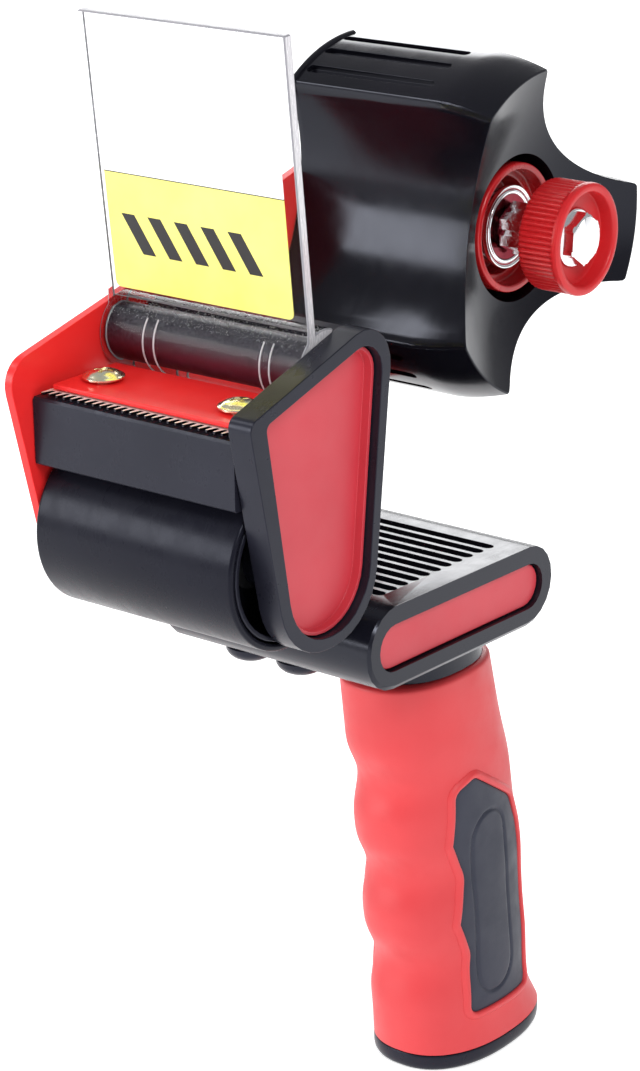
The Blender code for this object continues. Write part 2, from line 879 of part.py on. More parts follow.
hub_rings = [
    hub_ring(HUB_RADIUS, HUB_FAR),
    hub_ring(HUB_RADIUS + HUB_LIP, HUB_FAR + 0.5),
    hub_ring(HUB_RADIUS + HUB_LIP, HUB_FAR + HUB_LIP_WIDTH - 0.5),
    hub_ring(HUB_RADIUS, HUB_FAR + HUB_LIP_WIDTH),
    hub_ring(HUB_RADIUS, HUB_NEAR - 13.0),
    hub_ring(HUB_RADIUS - 1.2, HUB_NEAR - 7.0),
    hub_face_ring(1.0),
    hub_face_ring(0.66),
    hub_face_ring(0.33),
    hub_face_ring(0.0),
]
hub = loft("tape_hub", hub_rings)
hub.location = Vector(AXIS_HUB) * MM
COUNTERBORE_Y = -24.5
HUB_BORE = 5.3
hub_bore_tool = turned(
    "hub_bore",
    (
        (HUB_POCKET_RADIUS + 0.15, HUB_NEAR + 5.0),
        (HUB_POCKET_RADIUS + 0.15, HUB_POCKET_FLOOR),
        (HUB_BORE, HUB_POCKET_FLOOR),
        (HUB_BORE, COUNTERBORE_Y),
        (11.0, COUNTERBORE_Y),
        (11.0, HUB_FAR - 1.0),
        (0.0, HUB_FAR - 1.0),
        (0.0, HUB_NEAR + 5.0),
    ),
    AXIS_HUB,
    36,
    cutters,
    closed=False,
)
combine(hub, hub_bore_tool)
for number, lobe in enumerate(LOBES):
    direction = math.radians(lobe)
    pocket_points = []
    for distance, side in ((17.5, -4.0), (33.8, -8.2), (33.8, 8.2), (17.5, 4.0)):
        pocket_points.append(
            (
                HUB_X + distance * math.cos(direction) - side * math.sin(direction),
                HUB_Z + distance * math.sin(direction) + side * math.cos(direction),
            )
        )
    combine(
        hub,
        slab(
            "hub_pocket_%d" % number,
            rounded(pocket_points, (2.5, 3.5, 3.5, 2.5), 3),
            (HUB_FAR - 1.0, 3.0),
            cutters,
        ),
    )
    for groove, swing in enumerate((-10.5, 0.0, 10.5)):
        angle = math.radians(lobe + swing)
        tool = box(
            "hub_groove_%d_%d" % (number, groove),
            (HUB_RADIUS - 1.1, HUB_RADIUS + 3.0),
            (HUB_FAR + HUB_LIP_WIDTH + 0.4, 4.0),
            (-1.0, 1.0),
            cutters,
        )
        tool.matrix_world = (
            Matrix.Translation(Vector(AXIS_HUB) * MM)
            @ Matrix.Rotation(-angle, 4, "Y")
            @ tool.matrix_world
        )
        combine(hub, tool)
finish(hub, (0.025, 0.025, 0.03), 0.2, sharp=30.0)
flanged_bush(
    "hub_bush_far", AXIS_HUB, COUNTERBORE_Y - 1.4, COUNTERBORE_Y + 9.0, SPINDLE_RADIUS + 0.1, 5.0, 8.5
)
bush_near = turned(
    "hub_bush_near",
    (
        (5.0, HUB_POCKET_FLOOR),
        (5.0, HUB_POCKET_FLOOR - 8.0),
        (SPINDLE_RADIUS + 0.1, HUB_POCKET_FLOOR - 8.0),
        (SPINDLE_RADIUS + 0.1, HUB_POCKET_FLOOR),
    ),
    AXIS_HUB,
    24,
)
finish(bush_near, BUSH_BLACK, 0.4)

# ---------------------------------------------------------------- spindle and brake

SPINDLE_FLANGE = SPAN_FAR + 2.2
spindle = turned(
    "hub_spindle",
    (
        (0.0, THREAD_END),
        (THREAD_RADIUS - 0.5, THREAD_END),
        (THREAD_RADIUS, THREAD_END - 0.6),
        (THREAD_RADIUS, 4.4),
        (SPINDLE_RADIUS, 4.4),
        (SPINDLE_RADIUS, SPINDLE_FLANGE),
        (9.5, SPINDLE_FLANGE),
        (9.5, SPAN_FAR),
        (SPINDLE_RADIUS, SPAN_FAR),
        (SPINDLE_RADIUS, PLATE_OUTER + 0.1),
        (0.0, PLATE_OUTER + 0.1),
    ),
    AXIS_HUB,
    24,
    closed=False,
)
finish(spindle, STEEL, 0.3, 1.0)


def ring_washer(name, inner, outer, y_low, y_high, color, roughness, metallic, sides=32):
    washer = turned(
        name,
        ((outer, y_high), (outer, y_low), (inner, y_low), (inner, y_high)),
        AXIS_HUB,
        sides,
    )
    finish(washer, color, roughness, metallic)
    return washer


ring_washer(
    "hub_side_washer",
    SPINDLE_RADIUS + GAP,
    8.5,
    SPINDLE_FLANGE + GAP,
    COUNTERBORE_Y - 1.7,
    (0.75, 0.73, 0.68),
    0.5,
    0.0,
)
ring_washer(
    "friction_pad", 4.6, 12.2, HUB_POCKET_FLOOR + GAP, 1.8, (0.28, 0.26, 0.22), 0.9, 0.0
)
cup = turned(
    "brake_cup",
    (
        (CUP_RADIUS, CUP_RIM_Y),
        (CUP_RADIUS, 2.1),
        (SPINDLE_RADIUS + GAP, 2.1),
        (SPINDLE_RADIUS + GAP, 3.6),
        (CUP_RADIUS - 1.5, 3.6),
        (CUP_RADIUS - 1.5, CUP_RIM_Y),
    ),
    AXIS_HUB,
    40,
)
finish(cup, RED, 0.35)

SPRING_LOW = 3.9
SPRING_HIGH = 9.4
SPRING_TURNS = 3.0
SPRING_RADIUS = 7.2
SPRING_WIRE = 0.6
spring_curve = bpy.data.curves.new("brake_spring", "CURVE")
spring_curve.dimensions = "3D"
spring_curve.bevel_depth = SPRING_WIRE * MM
spring_curve.bevel_resolution = 2
spring_curve.use_fill_caps = True
spring_spline = spring_curve.splines.new("POLY")
SPRING_POINTS = 48
spring_spline.points.add(SPRING_POINTS)
for i in range(SPRING_POINTS + 1):
    share = i / SPRING_POINTS
    turn = 2 * math.pi * SPRING_TURNS * share
    height = SPRING_LOW + SPRING_WIRE
    height += (SPRING_HIGH - SPRING_LOW - 2 * SPRING_WIRE) * share
    spring_spline.points[i].co = (
        SPRING_RADIUS * math.cos(turn) * MM,
        height * MM,
        SPRING_RADIUS * math.sin(turn) * MM,
        1.0,
    )
spring_shape = bpy.data.objects.new("brake_spring", spring_curve)
parts.objects.link(spring_shape)
spring_shape.location = Vector(AXIS_HUB) * MM
brake_spring = bake(spring_shape, parts)
finish(brake_spring, STEEL, 0.25, 1.0)

ring_washer("brake_washer", THREAD_RADIUS + GAP, 8.9, 9.7, 10.9, STEEL, 0.2, 1.0)


def hexagon_nut(name, flats, y_low, y_high, hole, hole_end, flange=None, flange_height=0.0):
    """A nut on the spindle's thread. The optional round flange is on the far side."""
    outline = arc((HUB_X, HUB_Z), flats / math.sqrt(3.0), 0.0, 300.0, 5)
    nut = slab(name, outline, (y_low, y_high), parts, AXIS_HUB)
    if flange:
        disc = cylinder(
            name + "_flange",
            flange,
            (HUB_X, y_low, HUB_Z),
            (HUB_X, y_low + flange_height, HUB_Z),
            32,
            cutters,
        )
        combine(nut, disc, "UNION")
    bore(nut, name + "_hole", hole, HUB_X, HUB_Z, (y_low - 1.0, hole_end))
    finish(nut, (0.8, 0.8, 0.82), 0.12, 1.0)
    return nut


hexagon_nut("spacer_nut", 10.0, 11.2, KNOB_FAR - GAP, THREAD_RADIUS + GAP, KNOB_FAR)



def knob_ring(crest, root, y):
    """A ribbed ring about the hub's axis, or a plain one if crest and root agree."""
    ring = []
    for i in range(KNOB_RIBS * 2):
        radius = crest if i % 2 == 0 else root
        angle = math.pi * i / KNOB_RIBS
        ring.append((radius * math.cos(angle), y, radius * math.sin(angle)))
    return ring


KNOB_CREST = KNOB_RADIUS - 0.1
KNOB_ROOT = KNOB_RADIUS - 0.55
KNOB_EDGE = KNOB_RADIUS - 0.7
knob = loft(
    "tension_knob",
    (
        knob_ring(KNOB_CREST, KNOB_ROOT, KNOB_FAR),
        knob_ring(KNOB_CREST, KNOB_ROOT, KNOB_BAND),
        knob_ring(KNOB_RADIUS, KNOB_RADIUS, KNOB_BAND),
        knob_ring(KNOB_RADIUS, KNOB_RADIUS, KNOB_NEAR - 0.7),
        knob_ring(KNOB_EDGE, KNOB_EDGE, KNOB_NEAR),
    ),
)
knob.location = Vector(AXIS_HUB) * MM
KNOB_SEAT = 27.2
knob_recess = turned(
    "knob_recess",
    (
        (10.0, KNOB_NEAR + 1.0),
        (10.0, KNOB_SEAT),
        (THREAD_RADIUS + GAP, KNOB_SEAT),
        (THREAD_RADIUS + GAP, KNOB_FAR - 1.0),
        (0.0, KNOB_FAR - 1.0),
        (0.0, KNOB_NEAR + 1.0),
    ),
    AXIS_HUB,
    36,
    cutters,
    closed=False,
)
combine(knob, knob_recess)
finish(knob, RED, 0.35)
hexagon_nut(
    "knob_nut", 10.0, KNOB_SEAT + GAP, 30.5, THREAD_RADIUS + 0.15, THREAD_END + 1.4, 6.3, 0.8
)

# ---------------------------------------------------------------- base body

BASE_SLOPE = (BASE_FRONT_CENTRE[1] - BASE_REAR_CENTRE[1]) / (
    BASE_FRONT_CENTRE[0] - BASE_REAR_CENTRE[0]
)
BASE_TILT = math.degrees(math.atan(BASE_SLOPE))


def stadium(inset_by, steps=10):
    """Outline of the base, moved inwards."""
    radius = BASE_RADIUS - inset_by
    front = arc(BASE_FRONT_CENTRE, radius, BASE_TILT - 90.0, BASE_TILT + 90.0, steps)
    rear = arc(BASE_REAR_CENTRE, radius, BASE_TILT + 90.0, BASE_TILT + 270.0, steps)
    return front + rear


def base_middle(x):
    """Height of the base's middle line."""
    return BASE_REAR_CENTRE[1] + BASE_SLOPE * (x - BASE_REAR_CENTRE[0])


def base_ring(y, shrink):
    """Outline of the base at one Y. It shrinks towards its top line."""
    outline = stadium(shrink)
    front_x = max(point[0] for point in outline)
    return [
        (x - shrink * max(0.0, x / front_x), y, z + shrink) for x, z in outline
    ]


base = loft(
    "base_body",
    (
        base_ring(SPAN_FAR, 1.9),
        base_ring(SPAN_FAR + 0.5, 1.1),
        base_ring(SPAN_FAR + 1.6, 0.4),
        base_ring(SPAN_FAR + 3.6, 0.0),
        base_ring(COVER_OUTER - 0.5, 0.0),
        base_ring(COVER_OUTER, 0.4),
    ),
)


def handle_centre(z):
    """X of the handle's middle line, which leans back towards the bottom."""
    return 1.0 + HANDLE_LEAN * z


def oval(centre_x, half_x, half_y, z, count=32, power=2.3):
    ring = []
    for i in range(count):
        angle = 2 * math.pi * i / count
        c = math.cos(angle)
        s = math.sin(angle)
        ring.append(
            (
                centre_x + half_x * math.copysign(abs(c) ** (2 / power), c),
                half_y * math.copysign(abs(s) ** (2 / power), s),
                z,
            )
        )
    return ring


neck = loft(
    "base_neck",
    (
        oval(15.3, 16.9, 12.4, GRIP_TOP + GAP),
        oval(16.1, 16.3, 12.2, 103.0),
        oval(18.6, 15.4, 12.6, 108.5),
        oval(22.8, 14.7, 13.0, 116.0),
    ),
    cutters,
)
combine(base, neck, "UNION")
combine(
    base,
    slab("base_end_pocket", stadium(BASE_RIM), (COVER_OUTER - 3.0, COVER_OUTER + 1.0), cutters),
)
for i in range(GROOVE_COUNT):
    x = GROOVE_FIRST_X + i * GROOVE_PITCH
    half = GROOVE_WIDTH / 2
    end_y = GROOVE_NEAR_Y - half
    floor = base_middle(x) + BASE_RADIUS - GROOVE_DEPTH
    bpy.ops.mesh.primitive_cylinder_add(
        vertices=12,
        radius=half * MM,
        depth=6.0 * MM,
        location=Vector((x, end_y, floor + 3.0)) * MM,
    )
    groove_end = place(bpy.context.active_object, "groove_end_%d" % i, cutters)
    groove_run = box(
        "groove_run_%d" % i,
        (x - half, x + half),
        (GROOVE_FAR_Y, end_y),
        (floor, floor + 6.0),
        cutters,
    )
    combine(groove_run, groove_end, "UNION")
    combine(base, groove_run)

TONGUE_X = (14.0, 62.0)
TONGUE_Z = (117.5, 120.5)
combine(
    base,
    box(
        "tongue_slot",
        (TONGUE_X[0] - GAP, TONGUE_X[1] + GAP),
        (SPAN_FAR - 1.0, 14.0 + GAP),
        (TONGUE_Z[0] - GAP, TONGUE_Z[1] + GAP),
        cutters,
    ),
)
tongue = box("frame_tongue", TONGUE_X, (SPAN_FAR, 14.0), TONGUE_Z)
BASE_SCREWS = (("base_screw_far", -14.8), ("base_screw_near", -1.2))
HEAD_TOP = base_middle(BASE_SCREW_X) - BASE_RADIUS - 0.5
for screw_name, y in BASE_SCREWS:
    for target, radius in ((base, 2.5), (tongue, 2.5)):
        tool = cylinder(
            target.name + "_hole_" + screw_name,
            radius,
            (BASE_SCREW_X, y, HEAD_TOP - 2.0),
            (BASE_SCREW_X, y, 124.3),
            16,
            cutters,
        )
        combine(target, tool)
    dome = (
        (0.0, 124.0),
        (2.2, 124.0),
        (2.2, HEAD_TOP),
        (5.5, HEAD_TOP),
        (5.2, HEAD_TOP - 1.3),
        (3.6, HEAD_TOP - 2.8),
        (1.6, HEAD_TOP - 3.4),
        (0.0, HEAD_TOP - 3.5),
    )
    finish(turned_upright(screw_name, dome, BASE_SCREW_X, y), (0.04, 0.04, 0.045), 0.4, 0.6)

# The handle bolt follows the handle's middle line, up into the base body.
BOLT_HEAD_Z = 7.2
BOLT_END_Z = 116.5


def on_middle_line(z):
    return (handle_centre(z), 0.0, z)


combine(
    base,
    cylinder("base_bolt_hole", 3.0 + GAP, on_middle_line(96.0), on_middle_line(117.0), 20, cutters),
)
finish(base, BLACK, 0.22)
finish(tongue, STEEL, 0.4, 1.0)
base_insert = slab(
    "base_insert",
    stadium(BASE_RIM + GAP),
    (COVER_OUTER - 3.0 + GAP, COVER_OUTER - 1.2),
)
finish(base_insert, RED, 0.35)

# ---------------------------------------------------------------- handle

GRIP_REAR = (
    (4.3, -22.9),
    (10.0, -19.8),
    (17.0, -17.8),
    (34.0, -15.8),
    (52.0, -14.3),
    (68.0, -11.7),
    (84.0, -7.2),
    (98.3, -3.6),
)
GRIP_HALF_WIDTH = ((4.3, 15.4), (12.0, 14.5), (30.0, 14.3), (70.0, 14.0), (98.3, 13.4))
FINGER_LOW = 14.4
FINGER_HIGH = 84.2
FINGER_PITCH = 23.27
FINGER_DEPTH = 3.1


def grip_front(z):
    """Front line of the grip: a straight lean with three finger swells on it."""
    line = 22.3 + 0.133 * z
    if FINGER_LOW < z < FINGER_HIGH:
        phase = 2 * math.pi * (z - FINGER_LOW) / FINGER_PITCH
        line -= FINGER_DEPTH * (0.5 - 0.5 * math.cos(phase)) ** 1.4
    return line


def grip_ring(z, shrink=0.0, count=32):
    front = grip_front(z) - shrink
    rear = smooth_between(GRIP_REAR, z) + shrink
    half = smooth_between(GRIP_HALF_WIDTH, z) - shrink
    return oval((front + rear) / 2, (front - rear) / 2, half, z, count)


def grip_shape(name, collection):
    steps = 26
    rings = [grip_ring(GRIP_BOTTOM)]
    for i in range(1, steps):
        rings.append(grip_ring(GRIP_BOTTOM + (GRIP_TOP - GRIP_BOTTOM) * i / steps))
    rings.append(grip_ring(GRIP_TOP - 1.2))
    rings.append(grip_ring(GRIP_TOP, 1.2))
    return loft(name, rings, collection)


grip = grip_shape("grip", parts)


def leaning_block(name, half_x, half_y, z_low, z_high, collection=parts):
    rings = []
    for z in (z_low, z_high):
        x = handle_centre(z)
        rings.append(
            (
                (x - half_x, -half_y, z),
                (x + half_x, -half_y, z),
                (x + half_x, half_y, z),
                (x - half_x, half_y, z),
            )
        )
    return loft(name, rings, collection)


combine(
    grip,
    leaning_block("grip_bore", CORE_HALF_X + GAP, CORE_HALF_Y + GAP, 0.0, 110.0, cutters),
)
PANEL_CORNERS = (
    (13.0, 72.8),
    (18.7, 70.4),
    (19.5, 57.8),
    (15.4, 49.0),
    (16.9, 37.5),
    (13.3, 29.0),
    (13.2, 13.2),
    (-9.4, 12.6),
    (-9.0, 40.0),
    (-6.6, 54.5),
    (-2.5, 62.5),
)
PANEL_RADII = (2.6, 3.0, 0.8, 7.0, 0.8, 7.0, 2.5, 2.0, 10.0, 8.0, 6.0)
for side_name, sign in (("near", 1.0), ("far", -1.0)):
    reach = sorted((sign * (PALM_DEPTH - GAP), sign * 40.0))
    combine(
        grip,
        slab(
            "panel_pocket_" + side_name,
            rounded(PANEL_CORNERS, PANEL_RADII, 5),
            reach,
            cutters,
        ),
    )
    panel = slab(
        "grip_panel_" + side_name,
        rounded(inset(PANEL_CORNERS, GAP), [r - GAP for r in PANEL_RADII], 5),
        sorted((sign * PALM_DEPTH, sign * 30.0)),
    )
    combine(panel, grip_shape("panel_limit_" + side_name, cutters), "INTERSECT")
    finish(panel, (0.05, 0.055, 0.065), 0.55)
finish(grip, SOFT_RED, 0.5)

handle_core = leaning_block("handle_core", CORE_HALF_X, CORE_HALF_Y, 5.2, GRIP_TOP)
combine(
    handle_core,
    cylinder("core_bolt_hole", 3.0 + GAP, on_middle_line(-5.0), on_middle_line(110.0), 20, cutters),
)
combine(
    handle_core,
    cylinder("core_head_hole", 5.6, on_middle_line(-5.0), on_middle_line(BOLT_HEAD_Z + 4.6), 20, cutters),
)
finish(handle_core, BLACK, 0.45)

bolt = cylinder(
    "handle_bolt", 3.0, on_middle_line(BOLT_HEAD_Z + 0.5), on_middle_line(BOLT_END_Z), 20
)
combine(
    bolt,
    cylinder("bolt_head", 5.0, on_middle_line(BOLT_HEAD_Z), on_middle_line(BOLT_HEAD_Z + 4.0), 20, cutters),
    "UNION",
)
combine(
    bolt,
    cylinder(
        "bolt_socket", 2.4, on_middle_line(BOLT_HEAD_Z - 2.0), on_middle_line(BOLT_HEAD_Z + 2.4), 6, cutters
    ),
)
finish(bolt, STEEL, 0.35, 1.0)

cap_front = grip_front(GRIP_BOTTOM)
cap_rear = GRIP_REAR[0][1]
cap_middle = (cap_front + cap_rear) / 2
cap_half = (cap_front - cap_rear) / 2
cap_width = GRIP_HALF_WIDTH[0][1]
cap = loft(
    "handle_cap",
    (
        oval(cap_middle, cap_half - 1.6, cap_width - 1.6, 0.0),
        oval(cap_middle, cap_half - 0.5, cap_width - 0.5, 0.6),
        oval(cap_middle, cap_half, cap_width, 1.8),
        oval(cap_middle, cap_half, cap_width, CAP_TOP),
    ),
)
finish(cap, (0.06, 0.06, 0.065), 0.45)
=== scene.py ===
"""Looks for the hand-held tape dispenser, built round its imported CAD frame.

Lengths are in millimetres in the shape code and are turned into metres as each
mesh is made. +X points forward, +Y to the open side and +Z up.
"""

import json
import math

import bmesh
import bpy
from mathutils import Matrix, Vector


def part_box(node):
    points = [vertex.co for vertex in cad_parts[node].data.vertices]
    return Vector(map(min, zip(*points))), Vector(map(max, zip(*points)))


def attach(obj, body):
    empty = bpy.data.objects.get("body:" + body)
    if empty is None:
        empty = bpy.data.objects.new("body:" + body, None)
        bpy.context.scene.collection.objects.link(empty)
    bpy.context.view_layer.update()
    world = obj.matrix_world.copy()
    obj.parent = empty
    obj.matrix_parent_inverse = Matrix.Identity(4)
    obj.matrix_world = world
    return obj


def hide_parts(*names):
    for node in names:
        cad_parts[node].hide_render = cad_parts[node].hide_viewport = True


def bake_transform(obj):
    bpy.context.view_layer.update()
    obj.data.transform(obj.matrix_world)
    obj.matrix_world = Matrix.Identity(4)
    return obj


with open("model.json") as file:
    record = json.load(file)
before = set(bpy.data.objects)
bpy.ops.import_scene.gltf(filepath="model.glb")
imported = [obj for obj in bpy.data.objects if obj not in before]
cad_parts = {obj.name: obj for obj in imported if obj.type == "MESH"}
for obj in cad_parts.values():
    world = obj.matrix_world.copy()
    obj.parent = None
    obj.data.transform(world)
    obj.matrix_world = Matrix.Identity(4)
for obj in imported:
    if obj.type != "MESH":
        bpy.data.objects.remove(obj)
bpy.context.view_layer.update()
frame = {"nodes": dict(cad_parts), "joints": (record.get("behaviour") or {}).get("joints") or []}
nodes = frame["nodes"]
joint_at = {joint["name"]: joint.get("pos_m", (0, 0, 0)) for joint in frame["joints"]}
MM = 0.001

# The axes of the hub, the roller and the flap, as (x, z).
HUB = (joint_at["hub_spin"][0] / MM, joint_at["hub_spin"][2] / MM)
ROLLER = (joint_at["roller_spin"][0] / MM, joint_at["roller_spin"][2] / MM)
FLAP = (joint_at["flap_pivot"][0] / MM, joint_at["flap_pivot"][2] / MM)


def low_high(node):
    """The corners of a CAD node's box, in millimetres."""
    low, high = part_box(node)
    return low / MM, high / MM


def turned_size(node):
    """A turned node's radius and the Y of its far and its near end."""
    low, high = low_high(node)
    return (high.x - low.x) / 2, low.y, high.y


# ---- materials


# The share of a noise's range in which nearly all its values lie.
NOISE_LOW = 0.3
NOISE_HIGH = 0.7


class Shader:
    """Builds one procedural Principled material."""

    def __init__(self, name, **sockets):
        self.material = bpy.data.materials.new(name)
        self.material.use_nodes = True
        self.tree = self.material.node_tree
        self.principled = self.tree.nodes["Principled BSDF"]
        for socket, value in sockets.items():
            self.principled.inputs[socket.replace("_", " ")].default_value = value
        self.place = self.node("ShaderNodeTexCoord").outputs["Object"]

    def node(self, kind, **settings):
        made = self.tree.nodes.new(kind)
        for key, value in settings.items():
            setattr(made, key, value)
        return made

    def link(self, source, target):
        self.tree.links.new(source, target)

    def feed(self, value, target):
        """Link a source to a socket, or set the socket to a plain value."""
        if isinstance(value, bpy.types.NodeSocket):
            self.link(value, target)
        else:
            target.default_value = value

    def axis(self, letter):
        """One coordinate of the shaded point, in metres."""
        split = self.node("ShaderNodeSeparateXYZ")
        self.link(self.place, split.inputs["Vector"])
        return split.outputs[letter]

    def stretched(self, scale):
        mapping = self.node("ShaderNodeMapping")
        mapping.inputs["Scale"].default_value = scale
        self.link(self.place, mapping.inputs["Vector"])
        return mapping.outputs["Vector"]

    def noise(self, scale, detail=3.0, rough=0.55, where=None):
        made = self.node("ShaderNodeTexNoise")
        made.inputs["Scale"].default_value = scale
        made.inputs["Detail"].default_value = detail
        made.inputs["Roughness"].default_value = rough
        self.link(where or self.place, made.inputs["Vector"])
        return made.outputs["Fac"]

    def ramp(self, source, stops):
        made = self.node("ShaderNodeValToRGB")
        for end in (0, -1):
            made.color_ramp.elements[end].position = stops[end][0]
            made.color_ramp.elements[end].color = stops[end][1]
        for position, color in stops[1:-1]:
            made.color_ramp.elements.new(position).color = color
        self.link(source, made.inputs["Fac"])
        return made.outputs["Color"]

    def between(self, source, low, high, to_low, to_high):
        made = self.node("ShaderNodeMapRange")
        ends = {"From Min": low, "From Max": high, "To Min": to_low, "To Max": to_high}
        for socket, value in ends.items():
            made.inputs[socket].default_value = value
        self.link(source, made.inputs["Value"])
        return made.outputs["Result"]

    def tones(self, noise, dark, light):
        """Two colours, blended by a noise."""
        return self.ramp(noise, ((NOISE_LOW, opaque(dark)), (NOISE_HIGH, opaque(light))))

    def spread(self, noise, low, high):
        """A noise brought to lie between two values."""
        return self.between(noise, NOISE_LOW, NOISE_HIGH, low, high)

    def math(self, operation, first, second=None):
        made = self.node("ShaderNodeMath", operation=operation)
        self.feed(first, made.inputs[0])
        if second is not None:
            self.feed(second, made.inputs[1])
        return made.outputs[0]

    def mix(self, factor, first, second):
        made = self.node("ShaderNodeMix", data_type="RGBA")
        self.link(factor, made.inputs["Factor"])
        self.feed(first, made.inputs[6])
        self.feed(second, made.inputs[7])
        return made.outputs[2]

    def bump(self, height, strength, distance, after=None):
        made = self.node("ShaderNodeBump")
        made.inputs["Strength"].default_value = strength
        made.inputs["Distance"].default_value = distance
        self.link(height, made.inputs["Height"])
        if after:
            self.link(after, made.inputs["Normal"])
        return made.outputs["Normal"]

    def color(self, source):
        self.link(source, self.principled.inputs["Base Color"])

    def roughness(self, source):
        self.link(source, self.principled.inputs["Roughness"])

    def normal(self, source):
        self.link(source, self.principled.inputs["Normal"])


def opaque(color):
    return (*color, 1.0)


def moulded(name, light, dark, rough, grain, bump, distance, scuffs=0.5, **sockets):
    """Moulded plastic or rubber: mottled colour, fine grain and faint scuffs."""
    made = Shader(name, **sockets)
    mottle = made.noise(38.0, 4.0)
    made.color(made.tones(mottle, dark, light))
    scuff = made.noise(90.0, 5.0, 0.7, made.stretched((1.0, 6.0, 2.0)))
    wear = made.between(scuff, 0.45, 0.75, 0.0, scuffs)
    base = made.spread(made.noise(170.0, 3.0), *rough)
    made.roughness(made.math("ADD", base, made.math("MULTIPLY", wear, 0.12)))
    made.normal(made.bump(made.noise(grain, 2.0), bump, distance))
    return made.material


def brushed(name, light, dark, rough, stretch, bump, **sockets):
    """Metal with fine lines along one direction."""
    made = Shader(name, Metallic=1.0, **sockets)
    lines = made.noise(420.0, 4.0, 0.6, made.stretched(stretch))
    made.color(made.tones(lines, dark, light))
    made.roughness(made.spread(lines, *rough))
    made.normal(made.bump(lines, bump, 0.00003))
    return made.material


def enamel(name, light, dark, rough):
    """Gloss paint on sheet steel, with a faint orange-peel ripple."""
    made = Shader(name, Specular_IOR_Level=0.22, Coat_Weight=0.06, Coat_Roughness=0.10)
    patches = made.noise(26.0, 3.0)
    made.color(made.ramp(patches, ((0.35, opaque(dark)), (0.65, opaque(light)))))
    made.roughness(made.spread(made.noise(120.0, 4.0), *rough))
    peel = made.bump(made.noise(520.0, 1.0), 0.10, 0.00008)
    made.normal(made.bump(made.noise(2600.0, 2.0), 0.03, 0.00004, peel))
    return made.material


# The tint of the reflections on black plastic and rubber.
COOL = (0.80, 0.84, 1.0, 1.0)

red_enamel = enamel("red_enamel", (0.86, 0.028, 0.028), (0.80, 0.022, 0.023), (0.30, 0.40))
black_satin = moulded(
    "black_satin", (0.014, 0.014, 0.022), (0.009, 0.009, 0.015), (0.24, 0.34), 3200.0, 0.10, 0.00005,
    Specular_IOR_Level=0.24, Specular_Tint=COOL,
)
black_gloss = moulded(
    "black_gloss", (0.0055, 0.005, 0.008), (0.0035, 0.0035, 0.0055), (0.13, 0.19), 900.0, 0.02,
    0.00006, 0.3, Specular_IOR_Level=0.30, Specular_Tint=COOL,
)
black_matte = moulded(
    "black_matte", (0.014, 0.014, 0.022), (0.009, 0.009, 0.015), (0.45, 0.58), 3200.0, 0.2, 0.00006,
    Specular_IOR_Level=0.2, Specular_Tint=COOL,
)
base_gloss = moulded(
    "base_gloss", (0.009, 0.009, 0.014), (0.006, 0.006, 0.010), (0.18, 0.26), 1500.0, 0.04, 0.00005,
    Specular_IOR_Level=0.32, Specular_Tint=COOL,
)
red_plastic = moulded(
    "red_plastic", (0.60, 0.018, 0.022), (0.52, 0.013, 0.017), (0.30, 0.42), 2600.0, 0.08, 0.00005,
    Specular_IOR_Level=0.35,
)
red_cup = moulded(
    "red_cup", (0.50, 0.012, 0.016), (0.42, 0.010, 0.012), (0.18, 0.28), 2200.0, 0.05, 0.00005
)
red_insert = moulded(
    "red_insert", (0.58, 0.046, 0.064), (0.52, 0.038, 0.054), (0.34, 0.46), 3000.0, 0.14, 0.00006,
    Specular_IOR_Level=0.4,
)
grip_rubber = moulded(
    "grip_rubber", (0.66, 0.044, 0.050), (0.60, 0.036, 0.042), (0.40, 0.52), 3600.0, 0.22, 0.00007,
    Specular_IOR_Level=0.45,
)
panel_rubber = moulded(
    "panel_rubber", (0.030, 0.032, 0.047), (0.022, 0.024, 0.036), (0.42, 0.54), 3400.0, 0.25, 0.00007,
    Specular_IOR_Level=0.35, Specular_Tint=COOL,
)
roller_rubber = moulded(
    "roller_rubber", (0.008, 0.008, 0.014), (0.006, 0.006, 0.010), (0.22, 0.32), 2400.0, 0.12, 0.00006,
    Specular_IOR_Level=0.14, Specular_Tint=COOL,
)
steel = brushed("steel", (0.62, 0.62, 0.64), (0.50, 0.50, 0.52), (0.20, 0.34), (1.0, 30.0, 1.0), 0.15)
# Painted highlight: near white on the blade's upward faces stands in for the light that they catch.
blade_top_highlight = moulded(
    "blade_top_highlight", (0.98, 0.97, 0.90), (0.90, 0.89, 0.82), (0.30, 0.42), 2600.0, 0.08, 0.00004,
    Metallic=0.25,
)
dark_steel = brushed(
    "dark_steel", (0.05, 0.045, 0.055), (0.03, 0.028, 0.034), (0.30, 0.42), (1.0, 30.0, 1.0), 0.12
)
# Painted reflection: dark red metal stands in for the red knob reflected in the washer's sunk face.
washer_red_reflection = brushed(
    "washer_red_reflection", (0.26, 0.025, 0.040), (0.18, 0.016, 0.028), (0.14, 0.24), (1.0, 1.0, 1.0), 0.08
)
bush_black = moulded(
    "bush_black", (0.050, 0.050, 0.055), (0.036, 0.036, 0.040), (0.35, 0.45), 2600.0, 0.06, 0.00005
)


def zinc_plating():
    """Yellow-passivated zinc: gold with faint green and rose patches."""
    made = Shader("zinc_yellow", Metallic=1.0)
    made.color(
        made.ramp(
            made.noise(330.0, 3.0),
            (
                (0.30, (0.92, 0.78, 0.50, 1.0)),
                (0.45, (0.97, 0.92, 0.66, 1.0)),
                (0.58, (0.84, 0.88, 0.70, 1.0)),
                (0.72, (0.95, 0.84, 0.76, 1.0)),
            ),
        )
    )
    made.roughness(made.spread(made.noise(900.0, 3.0), 0.14, 0.30))
    made.normal(made.bump(made.noise(1500.0, 3.0), 0.2, 0.00005))
    return made.material


